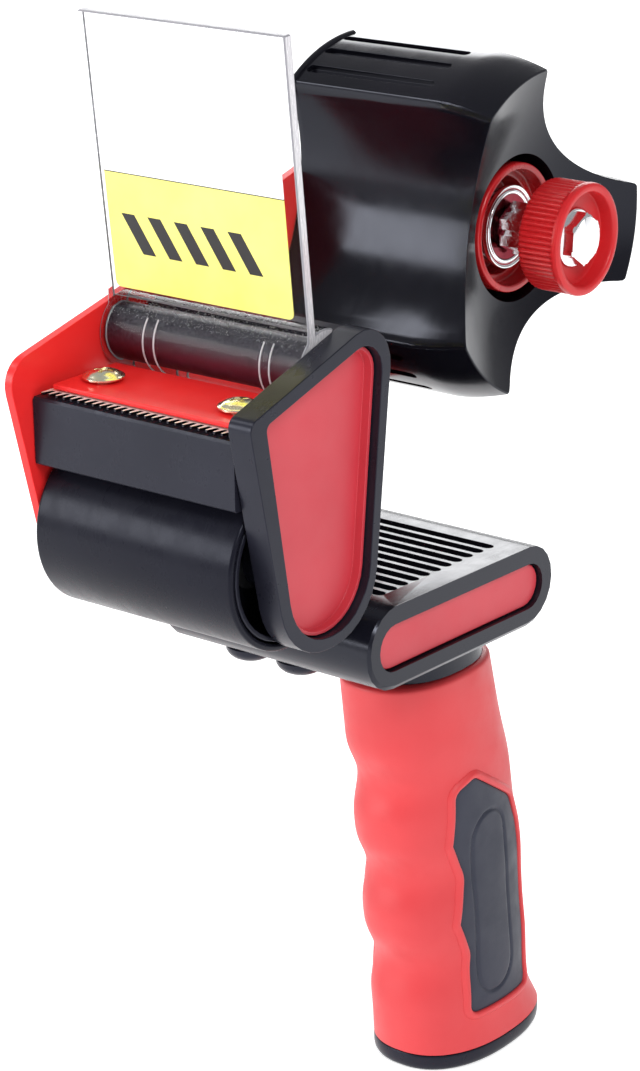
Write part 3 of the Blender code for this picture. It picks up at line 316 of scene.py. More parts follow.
def bright_plating(name, ripple, strength):
    """Bright nickel plate with a slightly uneven surface."""
    made = Shader(name, Metallic=1.0)
    made.color(made.tones(made.noise(140.0, 3.0), (0.80, 0.81, 0.83), (0.93, 0.93, 0.94)))
    made.roughness(made.spread(made.noise(700.0, 3.0), 0.06, 0.16))
    made.normal(made.bump(made.noise(ripple, 4.0, 0.7), strength, 0.00030))
    return made.material


def felt_cloth():
    """Pressed grey-brown wool."""
    made = Shader("felt", Sheen_Weight=0.3)
    fibres = made.noise(1800.0, 6.0, 0.8)
    made.color(made.tones(fibres, (0.18, 0.16, 0.13), (0.30, 0.27, 0.22)))
    made.roughness(made.spread(fibres, 0.85, 0.95))
    made.normal(made.bump(fibres, 0.6, 0.0002))
    return made.material


def clear_acrylic():
    """Clear moulded plastic, with a frosted band round the upper half of the curl."""
    made = Shader("clear_acrylic", Transmission_Weight=1.0, IOR=1.12, Specular_IOR_Level=1.0)
    made.color(made.tones(made.noise(60.0, 3.0), (0.97, 0.975, 0.98), (0.995, 0.995, 1.0)))
    height = made.axis("Z")
    over_pivot = FLAP[1] * MM
    band = made.math(
        "MULTIPLY",
        made.between(height, over_pivot + 0.0095, over_pivot + 0.0075, 0.0, 1.0),
        made.between(height, over_pivot + 0.0025, over_pivot + 0.0050, 0.0, 1.0),
    )
    speckle = made.between(made.noise(1900.0, 4.0, 0.8), 0.40, 0.65, 0.02, 0.30)
    clear = made.spread(made.noise(300.0, 2.0), 0.01, 0.035)
    made.roughness(made.math("ADD", clear, made.math("MULTIPLY", band, speckle)))
    made.normal(made.bump(made.noise(200.0, 2.0), 0.02, 0.00010))
    return made.material


def acrylic_rim():
    """The sawn near end of the clear sheet: pale, with fine cutting lines."""
    made = Shader("acrylic_rim", Transmission_Weight=0.15, IOR=1.3, Specular_IOR_Level=0.5)
    lines = made.noise(900.0, 3.0, 0.6, made.stretched((6.0, 6.0, 0.6)))
    made.color(made.tones(lines, (0.52, 0.51, 0.54), (0.72, 0.70, 0.72)))
    made.roughness(made.spread(lines, 0.12, 0.34))
    made.normal(made.bump(lines, 0.2, 0.00008))
    return made.material


def acrylic_edge_shade():
    """Painted shade: grey on the clear sheet's rounded corners and top face, which makes them read as
    thin grey lines.
    """
    made = Shader("acrylic_edge_shade", Specular_IOR_Level=0.3)
    patches = made.noise(120.0, 3.0)
    made.color(made.tones(patches, (0.26, 0.26, 0.28), (0.34, 0.33, 0.36)))
    made.roughness(made.spread(patches, 0.25, 0.40))
    return made.material


def bore_light_paint():
    """The curl's bore on the pivot bar: dark, with a painted speckled highlight above and a painted
    red reflection below.
    """
    made = Shader("curl_bore_painted_light", Specular_IOR_Level=0.3)
    # Painted highlight: pale grey speckles stand in for the soft highlight on the bore's upper half.
    speckle = made.ramp(
        made.noise(1500.0, 4.0, 0.8),
        ((0.40, (0.008, 0.007, 0.013, 1.0)), (0.70, (0.075, 0.072, 0.090, 1.0))),
    )
    # Painted reflection: a dark red tint stands in for the red parts reflected in the bore's lower
    # half.
    tint = made.tones(made.noise(500.0, 3.0), (0.075, 0.010, 0.020), (0.10, 0.014, 0.028))
    over_pivot = FLAP[1] * MM
    low = made.between(made.axis("Z"), over_pivot + 0.0025, over_pivot - 0.0020, 0.0, 1.0)
    made.color(made.mix(low, speckle, tint))
    made.roughness(made.spread(made.noise(400.0, 3.0), 0.38, 0.55))
    made.normal(made.bump(made.noise(1500.0, 3.0), 0.25, 0.00010))
    return made.material


zinc_yellow = zinc_plating()
bright_nut = bright_plating("bright_nut", 120.0, 0.04)
rough_nut = bright_plating("rough_nut", 420.0, 0.55)
felt = felt_cloth()
acrylic = clear_acrylic()
rim = acrylic_rim()
curl_bore_painted_light = bore_light_paint()
edge_shade = acrylic_edge_shade()


# ---- shape tools


def make_object(name, shape, smooth=35.0):
    """Turn a bmesh in millimetres into an object in metres."""
    bmesh.ops.recalc_face_normals(shape, faces=shape.faces)
    bmesh.ops.scale(shape, vec=(MM, MM, MM), verts=shape.verts)
    mesh = bpy.data.meshes.new(name)
    shape.to_mesh(mesh)
    shape.free()
    obj = bpy.data.objects.new(name, mesh)
    bpy.context.scene.collection.objects.link(obj)
    mesh.shade_smooth()
    mesh.set_sharp_from_angle(angle=math.radians(smooth))
    return obj


def bevelled(obj, width, segments=3, angle=30.0):
    """Round the edges that turn by more than an angle."""
    edge = obj.modifiers.new("edges", "BEVEL")
    edge.width = width * MM
    edge.segments = segments
    edge.limit_method = "ANGLE"
    edge.angle_limit = math.radians(angle)
    edge.use_clamp_overlap = True
    edge.harden_normals = True
    return obj


def cut(obj, tools):
    """Take the tools' volumes out of an object, and remove the tools."""
    for tool in tools:
        step = obj.modifiers.new("cut", "BOOLEAN")
        step.operation = "DIFFERENCE"
        step.object = tool
        step.solver = "EXACT"
    bpy.context.view_layer.update()
    graph = bpy.context.evaluated_depsgraph_get()
    mesh = bpy.data.meshes.new_from_object(obj.evaluated_get(graph))
    obj.modifiers.clear()
    obj.data = mesh
    for tool in tools:
        bpy.data.objects.remove(tool, do_unlink=True)


def about(centre, radius, degrees, y):
    """The point at a radius and an angle about an axis along Y."""
    angle = math.radians(degrees)
    return (centre[0] + radius * math.cos(angle), y, centre[1] + radius * math.sin(angle))


def rotated(centre, u, v, degrees):
    """The point (u, v), turned by an angle and moved to a centre."""
    c = math.cos(math.radians(degrees))
    s = math.sin(math.radians(degrees))
    return (centre[0] + u * c - v * s, centre[1] + u * s + v * c)


def from_rings(name, rings, closed=False, smooth=35.0):
    """Join rings of points. A closed stack joins its last ring to its first."""
    shape = bmesh.new()
    loops = [[shape.verts.new(point) for point in ring] for ring in rings]
    count = len(loops[0])
    pairs = list(zip(loops, loops[1:]))
    if closed:
        pairs.append((loops[-1], loops[0]))
    for lower, upper in pairs:
        for i in range(count):
            j = (i + 1) % count
            shape.faces.new((lower[i], lower[j], upper[j], upper[i]))
    if not closed:
        shape.faces.new(loops[0])
        shape.faces.new(loops[-1])
    return make_object(name, shape, smooth)


def turned(name, profile, centre, steps=96, closed=True, smooth=35.0):
    """Turn (radius, y) points about an axis along Y. An open profile is capped."""
    rings = [
        [about(centre, radius, 360.0 * i / steps, y) for i in range(steps)] for radius, y in profile
    ]
    return from_rings(name, rings, closed, smooth)


def turned_upright(name, profile, axis, steps=64):
    """Turn (radius, z) points about a vertical axis at an (x, y), capped at both ends."""
    rings = [
        [(*rotated(axis, radius, 0.0, 360.0 * i / steps), z) for i in range(steps)]
        for radius, z in profile
    ]
    return from_rings(name, rings)


def softened(points, radius, closed=True, steps=4):
    """Round the corners of a (radius, y) profile or an outline."""
    count = len(points)
    result = []
    for i in range(count):
        here = Vector(points[i])
        if not closed and i in (0, count - 1):
            result.append(tuple(here))
            continue
        before = Vector(points[i - 1]) - here
        after = Vector(points[(i + 1) % count]) - here
        reach = min(radius, before.length * 0.45, after.length * 0.45)
        start = here + before.normalized() * reach
        end = here + after.normalized() * reach
        for k in range(steps + 1):
            t = k / steps
            result.append(tuple(start * (1 - t) ** 2 + here * 2 * t * (1 - t) + end * t**2))
    return result


def prism(name, outline, y_low, y_high, smooth=35.0):
    """A flat XZ outline extruded along Y."""
    rings = [[(x, y, z) for x, z in outline] for y in (y_low, y_high)]
    return from_rings(name, rings, False, smooth)


def reach_from(axis, polygon):
    """The distance of a face's middle from an axis along Y, in millimetres."""
    return math.hypot(polygon.center.x / MM - axis[0], polygon.center.z / MM - axis[1])


def cad_shape(node, join_flats=False):
    """A CAD node's mesh in millimetres, with the points that its faces share merged."""
    shape = bmesh.new()
    shape.from_mesh(nodes[node].data)
    bmesh.ops.remove_doubles(shape, verts=shape.verts, dist=0.000002)
    if join_flats:
        bmesh.ops.dissolve_limit(
            shape, angle_limit=math.radians(0.6), verts=shape.verts, edges=shape.edges
        )
    bmesh.ops.scale(shape, vec=(1 / MM, 1 / MM, 1 / MM), verts=shape.verts)
    return shape


def from_cad(name, node, width, angle=30.0):
    """A copy of a CAD node with its flat faces joined up and its edges rounded."""
    return bevelled(make_object(name, cad_shape(node, True), angle), width, 3, angle)


def stand_for(obj, body, material, slot, *replaced):
    """Finish a piece: its material, its body and the CAD nodes that it stands for."""
    for entry in material if isinstance(material, tuple) else (material,):
        obj.data.materials.append(entry)
    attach(obj, body)
    if replaced:
        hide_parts(*replaced)


def arc(centre, radius, start, end, steps):
    """Points along an arc, from one angle to another."""
    turns = [start + (end - start) * i / steps for i in range(steps + 1)]
    return [rotated(centre, radius, 0.0, turn) for turn in turns]


# ---- plate, bars and cover

for node, name, width, material, slot in (
    ("frame_plate", "side_plate", 0.7, red_enamel, "red_painted_steel"),
    ("front_bar", "front_bar_body", 0.45, black_satin, "black_satin_plastic"),
    ("rear_crossbar", "rear_bar", 0.5, black_matte, "black_satin_plastic"),
    ("near_cover", "cover_shell", 0.5, black_satin, "black_satin_plastic"),
    ("cover_insert", "cover_pan", 0.3, red_insert, "red_plastic"),
    ("base_insert", "base_pan", 0.35, red_insert, "red_plastic"),
    ("base_body", "base_shell", 0.4, base_gloss, "black_gloss_plastic"),
):
    stand_for(from_cad(name, node, width), "frame", material, slot, node)

# The ledge is a thin folded strip. Its front edge lies behind the tips of the teeth.
LEDGE_SETBACK = 0.9
LEDGE_DROP = 0.3
ledge_low, ledge_high = low_high("blade_ledge")
blade_low, blade_high = low_high("blade")
front_x = ledge_high.x - LEDGE_SETBACK
top_z = ledge_high.z - LEDGE_DROP
ledge_outline = [
    (ledge_low.x, ledge_low.z),
    (front_x, ledge_low.z),
    (front_x, top_z),
    (ledge_low.x, top_z),
]
ledge = prism("ledge_strip", ledge_outline, ledge_low.y, ledge_high.y)
bevelled(ledge, 0.35)
stand_for(ledge, "frame", red_enamel, "red_painted_steel", "blade_ledge")

# Each tooth leans a little to the far side. Its root and tip are at shares of the pitch.
TEETH = 26
TOOTH_DEPTH = 2.2
TOOTH_SLANT = 0.25
TOOTH_ROOTS = (0.28, 0.80)
TOOTH_TIPS = (0.36, 0.58)
BLADE_THICK = 0.5
pitch = (blade_high.y - blade_low.y) / TEETH
root_x = blade_high.x - TOOTH_DEPTH
tip_x = blade_high.x - 0.1
blade_outline = [(blade_low.x, blade_low.y)]
for i in range(TEETH):
    start = blade_low.y + i * pitch
    blade_outline.append((root_x, start + TOOTH_ROOTS[0] * pitch))
    for share in TOOTH_TIPS:
        blade_outline.append((tip_x, start + share * pitch - TOOTH_SLANT))
    blade_outline.append((root_x, start + TOOTH_ROOTS[1] * pitch))
blade_outline.append((blade_low.x, blade_high.y))
blade_rings = [
    [(x, y, z) for x, y in blade_outline] for z in (blade_high.z - BLADE_THICK, blade_high.z)
]
blade = from_rings("blade_strip", blade_rings, False, 20.0)
# The faces that look up take the painted highlight.
for polygon in blade.data.polygons:
    if polygon.normal.z > 0.5:
        polygon.material_index = 1
stand_for(blade, "frame", (dark_steel, blade_top_highlight), "steel", "blade")


# A round point of a profile: a plain 0 would fold the faces about the axis.
AXIS_POINT = 0.02

# The blade screws' head, as (radius, height over its seat).
HEAD_HIGH = 1.70
HEAD_PROFILE = (
    (4.1, 0.0), (4.3, 0.12), (4.3, 0.42), (4.15, 0.55), (3.85, 0.60), (3.65, 0.74),
    (3.2, 1.10), (2.5, 1.40), (1.6, 1.61), (0.8, 1.69), (AXIS_POINT, HEAD_HIGH),
)
SHANK_RADIUS = 1.9

# The cross recess at its floor and over the head, as (half length, half width, height).
RECESS_SECTIONS = ((0.7, 0.22, -0.1), (2.5, 0.48, 2.2))
CORNER_SIGNS = ((-1, -1), (1, -1), (1, 1), (-1, 1))


def cross_head(name, node, turn):
    """A low domed head with a rim and a tapered cross recess."""
    low, high = low_high(node)
    axis = (low + high) / 2
    seat = high.z - HEAD_HIGH
    shank = [(SHANK_RADIUS, low.z), (SHANK_RADIUS, seat)]
    dome = [(radius, seat + rise) for radius, rise in HEAD_PROFILE]
    head = turned_upright(name, shank + dome, axis)
    tools = []
    for quarter in (0.0, 90.0):
        rings = [
            [
                (*rotated(axis, u * half_long, v * half_wide, turn + quarter), seat + rise)
                for u, v in CORNER_SIGNS
            ]
            for half_long, half_wide, rise in RECESS_SECTIONS
        ]
        tools.append(from_rings("recess", rings))
    cut(head, tools)
    head.data.set_sharp_from_angle(angle=math.radians(35.0))
    stand_for(head, "frame", zinc_yellow, "zinc_yellow", node)


cross_head("blade_screw_head_far", "blade_screw_far", 20.0)
cross_head("blade_screw_head_near", "blade_screw_near", 62.0)

# The base screws' domed head, as (radius, height over its lowest point), under its shank.
DOME_PROFILE = (
    (2.2, 3.5), (5.3, 3.5), (5.5, 3.3), (5.4, 2.5), (5.0, 1.7), (4.2, 0.95), (3.1, 0.4),
    (1.6, 0.08), (AXIS_POINT, 0.0),
)
for node in ("base_screw_far", "base_screw_near"):
    low, high = low_high(node)
    profile = [(DOME_PROFILE[0][0], high.z)]
    profile += [(radius, low.z + rise) for radius, rise in DOME_PROFILE]
    dome = turned_upright(node + "_dome", profile, (low + high) / 2)
    stand_for(dome, "frame", black_satin, "black_satin_plastic", node)

# ---- roller

SLEEVE_WALL = 1.6
radius, far_y, near_y = turned_size("roller_sleeve")
sleeve = turned(
    "roller_tyre",
    softened(
        (
            (radius, near_y),
            (radius, far_y),
            (radius - SLEEVE_WALL, far_y),
            (radius - SLEEVE_WALL, near_y),
        ),
        0.9,
    ),
    ROLLER,
    144,
)
stand_for(sleeve, "roller", roller_rubber, "roller_rubber", "roller_sleeve")
core = from_cad("roller_hub", "roller_core", 0.3)
stand_for(core, "roller", black_satin, "black_satin_plastic", "roller_core")

# ---- pivot bar and flap

PIVOT_RADIUS = 5.1
PIVOT_CHAMFER = 0.4
PIVOT_PIN = 2.5
SOCKET_RADIUS = 2.8
SOCKET_DEPTH = 4.7
_, wall_far, wall_near = turned_size("clear_flap")
_, far_y, near_y = turned_size("flap_pivot_bar")
pivot = turned(
    "pivot_bar",
    (
        (AXIS_POINT, near_y - SOCKET_DEPTH),
        (SOCKET_RADIUS, near_y - SOCKET_DEPTH),
        (SOCKET_RADIUS, near_y),
        (PIVOT_RADIUS - PIVOT_CHAMFER, near_y),
        (PIVOT_RADIUS, near_y - PIVOT_CHAMFER),
        (PIVOT_RADIUS, wall_far + PIVOT_CHAMFER),
        (PIVOT_RADIUS - PIVOT_CHAMFER, wall_far),
        (PIVOT_PIN, wall_far),
        (PIVOT_PIN, far_y),
        (AXIS_POINT, far_y),
    ),
    FLAP,
    closed=False,
)
stand_for(pivot, "frame", black_satin, "black_satin_plastic", "flap_pivot_bar")

# The flap leans forward. FRONT and BACK are its faces' distances from the pivot's axis,
# REACH is its length up from there, and CURL is its foot's outer radius.
LEAN_DEGREES = 5.8
LEAN = math.radians(LEAN_DEGREES)
along = Vector((math.sin(LEAN), math.cos(LEAN)))
across = Vector((math.cos(LEAN), -math.sin(LEAN)))
FRONT = 4.0
BACK = FRONT - 2.2
CURL = 7.8
REACH = 66.9
CURL_START = 112.0
CURL_END = -145.0
CURL_BORE = PIVOT_RADIUS + 0.3

# The places of the flap's materials in its list.
CLEAR, SAWN, BORE, SHADED_EDGE = range(4)


def on_flap(offset, reach):
    """The (x, z) of a place on the sheet, from its offset forward and its reach up."""
    spot = Vector(FLAP) + across * offset + along * reach
    return (spot.x, spot.y)


front_turn = 90.0 - LEAN_DEGREES - math.degrees(math.asin(FRONT / CURL))
back_turn = 90.0 - LEAN_DEGREES - math.degrees(math.asin(BACK / CURL))
flap_outline = arc(FLAP, CURL, CURL_END, front_turn - 3.0, 60)
flap_outline.append(on_flap(FRONT, CURL + 1.2))
flap_outline.extend(
    softened(
        (
            on_flap(FRONT, REACH / 2),
            on_flap(FRONT, REACH),
            on_flap(BACK, REACH),
            on_flap(BACK, REACH / 2),
        ),
        0.5,
        False,
    )
)
flap_outline.extend(arc(FLAP, CURL, back_turn, CURL_START, 6))
flap_outline.extend(arc(FLAP, CURL_BORE, CURL_START, CURL_END, 60))
flap = prism("flap_sheet", flap_outline, wall_far, wall_near, 30.0)
for polygon in flap.data.polygons:
    if polygon.normal.y > 0.9:
        polygon.material_index = SAWN
    elif polygon.normal.y < -0.9:
        polygon.material_index = CLEAR
    elif reach_from(FLAP, polygon) < CURL_BORE + 0.1:
        polygon.material_index = BORE
    # The sheet's top face takes the painted shade too.
    elif polygon.normal.z > 0.3 and reach_from(FLAP, polygon) > 0.9 * REACH:
        polygon.material_index = SHADED_EDGE
bevelled(flap, 0.30, 2, 50.0).modifiers["edges"].material = SHADED_EDGE
stand_for(flap, "flap", (acrylic, rim, curl_bore_painted_light, edge_shade), "clear_plastic", "clear_flap")

# Four fine moulded ribs run round the curl, in two pairs.
RIB_PLACES = (-19.3, -16.5, 10.6, 13.0)
RIB_HALF = 0.13
RIB_RISE = 0.16
rib_outline = arc(FLAP, CURL + RIB_RISE, -140.0, 40.0, 48) + arc(FLAP, CURL - 0.1, 40.0, -140.0, 48)
# The ribs take the pale sawn-edge finish: a painted highlight that makes them read as bright lines.
for number, y in enumerate(RIB_PLACES):
    rib = prism("flap_rib_%d" % number, rib_outline, y - RIB_HALF, y + RIB_HALF, 30.0)
    stand_for(rib, "flap", rim, "clear_plastic")

# The label's pattern, in metres: its slanted bars' number, start along the slant, pitch,
# slant, foot and top, and the line under its white head.
BARS = 5
BARS_START = 0.1005
BAR_PITCH = 0.0068
BAR_SLANT = 0.6
BARS_FOOT = 0.2005
BARS_TOP = 0.2085
HEAD_LINE = FLAP[1] * MM + 0.0349 * math.cos(LEAN) - 0.0004
RULE_HALF = 0.00011
INK = (0.012, 0.011, 0.012, 1.0)


def label_print():
    """Film with a white head and a yellow field that holds a band of plain slanted bars."""
    made = Shader("label_print", Coat_Weight=0.15, Coat_Roughness=0.15, Specular_IOR_Level=0.3)
    height = made.axis("Z")
    slant = made.math("ADD", made.axis("Y"), made.math("MULTIPLY", height, BAR_SLANT))
    turns = made.math("MULTIPLY", made.math("SUBTRACT", slant, BARS_START), 1 / BAR_PITCH)
    mask = made.math("LESS_THAN", made.math("FRACT", turns), 0.5)
    for operation, source, limit in (
        ("GREATER_THAN", height, BARS_FOOT),
        ("LESS_THAN", height, BARS_TOP),
        ("GREATER_THAN", turns, 0.0),
        ("LESS_THAN", turns, float(BARS)),
    ):
        mask = made.math("MULTIPLY", mask, made.math(operation, source, limit))
    paper = made.tones(made.noise(70.0, 3.0), (0.93, 0.86, 0.17), (0.97, 0.92, 0.23))
    white = made.tones(made.noise(60.0, 2.0), (0.93, 0.93, 0.93), (0.98, 0.98, 0.98))
    field = made.mix(made.math("GREATER_THAN", height, HEAD_LINE), paper, white)
    from_line = made.math("ABSOLUTE", made.math("SUBTRACT", height, HEAD_LINE))
    rule = made.math("LESS_THAN", from_line, RULE_HALF)
    made.color(made.mix(made.math("MAXIMUM", mask, rule), field, INK))
    made.roughness(made.spread(made.noise(500.0, 3.0), 0.32, 0.44))
    made.normal(made.bump(made.noise(1500.0, 2.0), 0.06, 0.00005))
    return made.material


label_low, label_high = low_high("flap_label")
LABEL_TOP = 41.0
LABEL_FOOT = 10.7
LABEL_FACES = (FRONT + 0.05, FRONT + 0.25)
label_corners = softened(
    (
        (label_low.y, LABEL_FOOT),
        (label_high.y, LABEL_FOOT),
        (label_high.y, LABEL_TOP),
        (label_low.y, LABEL_TOP),
    ),
    1.4,
    True,
    5,
)
label_rings = []
for offset in LABEL_FACES:
    places = [(y, on_flap(offset, reach)) for y, reach in label_corners]
    label_rings.append([(x, y, z) for y, (x, z) in places])
label = from_rings("label_sheet", label_rings)
stand_for(label, "flap", label_print(), "label_film", "flap_label")

# ---- tape hub

# Three lobes at these angles, with hollow sides that come in to the waist's radius.
_, HUB_FAR, HUB_NEAR = turned_size("tape_hub")
HUB_RADIUS = 37.6
LOBES = (71.3, 191.3, 311.3)
LOBE_HALF = 18.0
WAIST = 20.0
POCKET = 15.85


def hub_radius(angle, outer):
    """The radius of the lobed outline at an angle: an arc on a lobe, a hollow arc between."""
    off = min(abs((angle - lobe + 180.0) % 360.0 - 180.0) for lobe in LOBES)
    if off <= LOBE_HALF:
        return outer
    half_chord = outer * math.sin(math.radians(60.0 - LOBE_HALF))
    sag = outer * math.cos(math.radians(60.0 - LOBE_HALF)) - WAIST
    side_radius = (half_chord**2 + sag**2) / (2 * sag)
    centre = WAIST + side_radius
    swing = math.radians(60.0 - off)
    return centre * math.cos(swing) - math.sqrt(side_radius**2 - (centre * math.sin(swing)) ** 2)


def hub_outline(outer):
    """The lobed outline with its corners rounded, as (angle, radius) pairs."""
    points = []
    for i in range(360):
        angle = i + 0.3
        radii = [hub_radius(angle + shift, outer) for shift in (-0.8, -0.4, 0.0, 0.4, 0.8)]
        points.append((angle, min(outer, sum(radii) / 5)))
    return points


DISH_FLOOR = 13.0
DISH_RUN = 22.0
DISH_DEPTH = 8.3


def dish(radius):
    """The Y of the dished near face at a radius."""
    share = max(0.0, min(1.0, (radius - DISH_FLOOR) / DISH_RUN))
    return HUB_NEAR - DISH_DEPTH * (1.0 - share**1.38)


SHOULDER = HUB_NEAR - 13.0
FACE_RADIUS = 35.0

# The far lip and the straight sides, as (radius added, y).
hub_rings = [
    [about(HUB, radius, angle, y) for angle, radius in hub_outline(HUB_RADIUS + added)]
    for added, y in (
        (-0.3, HUB_FAR),
        (0.4, HUB_FAR + 0.12),
        (0.6, HUB_FAR + 0.5),
        (0.6, HUB_FAR + 1.1),
        (0.4, HUB_FAR + 1.48),
        (0.0, HUB_FAR + 1.6),
        (0.0, SHOULDER - 4.0),
    )
]

# From the shoulder the sides draw in to the crease, which follows the dish.
CREASE = 0.985
outer_face = hub_outline(FACE_RADIUS)
for k in range(10):
    share = k / 9 * CREASE
    sides = hub_outline(HUB_RADIUS - (HUB_RADIUS - FACE_RADIUS) * share**1.6)
    hub_rings.append(
        [
            about(HUB, radius, angle, SHOULDER + (dish(edge) - SHOULDER) * share)
            for (angle, radius), (_, edge) in zip(sides, outer_face)
        ]
    )
for k in range(14):
    share = CREASE * (1.0 - k / 13)
    inner = POCKET - 0.1
    radii = [(angle, inner + (edge - inner) * share) for angle, edge in outer_face]
    hub_rings.append([about(HUB, radius, angle, dish(radius)) for angle, radius in radii])
hub_shell = from_rings("hub_shell", hub_rings, False, 32.0)

SPINDLE_HOLE = 5.3
COUNTERBORE = 11.0
COUNTERBORE_Y = -24.5
hub_tools = [
    turned(
        "hub_bore",
        (
            (AXIS_POINT, HUB_NEAR + 5.0),
            (POCKET, HUB_NEAR + 5.0),
            (POCKET, 0.0),
            (SPINDLE_HOLE, 0.0),
            (SPINDLE_HOLE, COUNTERBORE_Y),
            (COUNTERBORE, COUNTERBORE_Y),
            (COUNTERBORE, HUB_FAR - 1.0),
            (AXIS_POINT, HUB_FAR - 1.0),
        ),
        HUB,
        96,
        False,
    )
]

# Each lobe has a hollow from the far side and three grooves with round ends along its crown.
LOBE_HOLLOW = ((17.5, -4.0), (33.8, -8.2), (33.8, 8.2), (17.5, 4.0))
HOLLOW_END = 3.0
GROOVE_HALF = 1.15
GROOVE_SWINGS = (-10.5, 0.0, 10.5)
GROOVE_FLOOR = HUB_RADIUS - 1.3
groove_outline = arc((3.0, 0.0), GROOVE_HALF, -90.0, 90.0, 8)
groove_outline += arc((HUB_FAR + 3.1, 0.0), GROOVE_HALF, 90.0, 270.0, 8)
for lobe in LOBES:
    corners = [rotated(HUB, distance, side, lobe) for distance, side in LOBE_HOLLOW]
    hub_tools.append(prism("hub_pocket", softened(corners, 3.0), HUB_FAR - 1.0, HOLLOW_END))
    for swing in GROOVE_SWINGS:
        rings = []
        for depth in (GROOVE_FLOOR, HUB_RADIUS + 3.0):
            places = [(y, rotated(HUB, depth, side, lobe + swing)) for y, side in groove_outline]
            rings.append([(x, y, z) for y, (x, z) in places])
        hub_tools.append(from_rings("hub_groove", rings))
cut(hub_shell, hub_tools)
bevelled(hub_shell, 0.22, 2, 48.0)
hub_shell.data.set_sharp_from_angle(angle=math.radians(32.0))
stand_for(hub_shell, "hub", black_gloss, "black_gloss_plastic", "tape_hub")

# ---- brake

# The hole of the nuts, the knob and the washer, round the spindle's thread.
THREAD_HOLE = 3.3

CUP_HOLE = 4.3
radius, far_y, near_y = turned_size("brake_cup")
cup = turned(
    "brake_cup_shell",
    softened(
        (
            (radius, near_y),
            (radius, far_y),
            (CUP_HOLE, far_y),
            (CUP_HOLE, far_y + 1.5),
            (radius - 3.4, far_y + 1.5),
            (radius - 3.4, near_y - 4.0),
            (radius - 1.5, near_y - 4.0),
            (radius - 1.5, near_y),
        ),
        0.5,
    ),
    HUB,
)
stand_for(cup, "frame", red_cup, "red_plastic", "brake_cup")

WASHER_STEP = 0.25
radius, far_y, near_y = turned_size("brake_washer")
washer = turned(
    "brake_washer_ring",
    softened(
        (
            (radius, near_y),
            (radius, far_y),
            (THREAD_HOLE, far_y),
            (THREAD_HOLE, near_y - WASHER_STEP),
            (radius - 1.9, near_y - WASHER_STEP),
            (radius - 1.7, near_y),
            (radius - 1.2, near_y),
            (radius - 1.0, near_y - WASHER_STEP),
            (radius - 0.5, near_y - WASHER_STEP),
            (radius - 0.35, near_y),
        ),
        0.12,
        True,
        2,
    ),
    HUB,
)

# The washer's two raised rings are bright, and the sunk face between them carries a painted dark red
# reflection of the red knob.
for polygon in washer.data.polygons:
    reach = reach_from(HUB, polygon)
    raised = reach > radius - 0.7 or abs(reach - radius + 1.45) < 0.42
    polygon.material_index = 0 if raised else 1
stand_for(washer, "carriage", (bright_nut, washer_red_reflection), "bright_nut", "brake_washer")


NUT_FLATS = 10.0
NUT_UNCUT = 9.0
NUT_HOLE = 3.2


def nut(name, stack, turn):
    """A nut with a hole, from (y, largest radius, is hexagonal) stations."""
    rings = []
    for y, limit, hexagonal in stack:
        ring = []
        for degrees in range(0, 360, 3):
            from_flat = (degrees - turn + 30.0) % 60.0 - 30.0
            flat = NUT_FLATS / 2 / math.cos(math.radians(from_flat))
            ring.append(about(HUB, min(limit, flat) if hexagonal else limit, degrees, y))
        rings.append(ring)
    return from_rings(name, rings, True, 25.0)


# The spring is a steel copy of the CAD coil and joins no body.
_, far_y, near_y = turned_size("brake_spring")
coil = make_object("brake_coil", cad_shape("brake_spring"), 60.0)
coil.data.materials.append(steel)
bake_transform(coil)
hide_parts("brake_spring")

# The knob's nut has a flange and a closed, chamfered top over its blind hole.
_, far_y, near_y = turned_size("knob_nut")
HOLE_END = far_y + 1.85
knob_nut = nut(
    "knob_nut_flanged",
    (
        (far_y - 0.2, NUT_HOLE, False),
        (far_y - 0.2, 6.1, False),
        (far_y - 0.05, 6.3, False),
        (far_y + 0.15, 6.3, False),
        (far_y + 0.3, 6.1, False),
        (far_y + 0.35, 5.9, False),
        (far_y + 0.36, NUT_UNCUT, True),
        (near_y - 0.42, NUT_UNCUT, True),
        (near_y - 0.2, 5.3, True),
        (near_y, 4.75, True),
        (near_y, AXIS_POINT, False),
        (HOLE_END, AXIS_POINT, False),
        (HOLE_END, NUT_HOLE, False),
    ),
    4.0,
)
stand_for(knob_nut, "knob", bright_nut, "bright_nut", "knob_nut")

_, far_y, near_y = turned_size("spacer_nut")
spacer = nut(
    "spacer_nut_body",
    (
        (far_y, THREAD_HOLE, False),
        (far_y, 4.8, True),
        (far_y + 0.5, NUT_UNCUT, True),
        (near_y - 0.5, NUT_UNCUT, True),
        (near_y, 4.8, True),
        (near_y, THREAD_HOLE, False),
    ),
    0.0,
)
stand_for(spacer, "carriage", rough_nut, "bright_nut", "spacer_nut")

_, far_y, near_y = turned_size("tension_knob")
KNOB_RIBS = 60
RIB_DEPTH = 0.62
KNOB_SEAT = 27.2

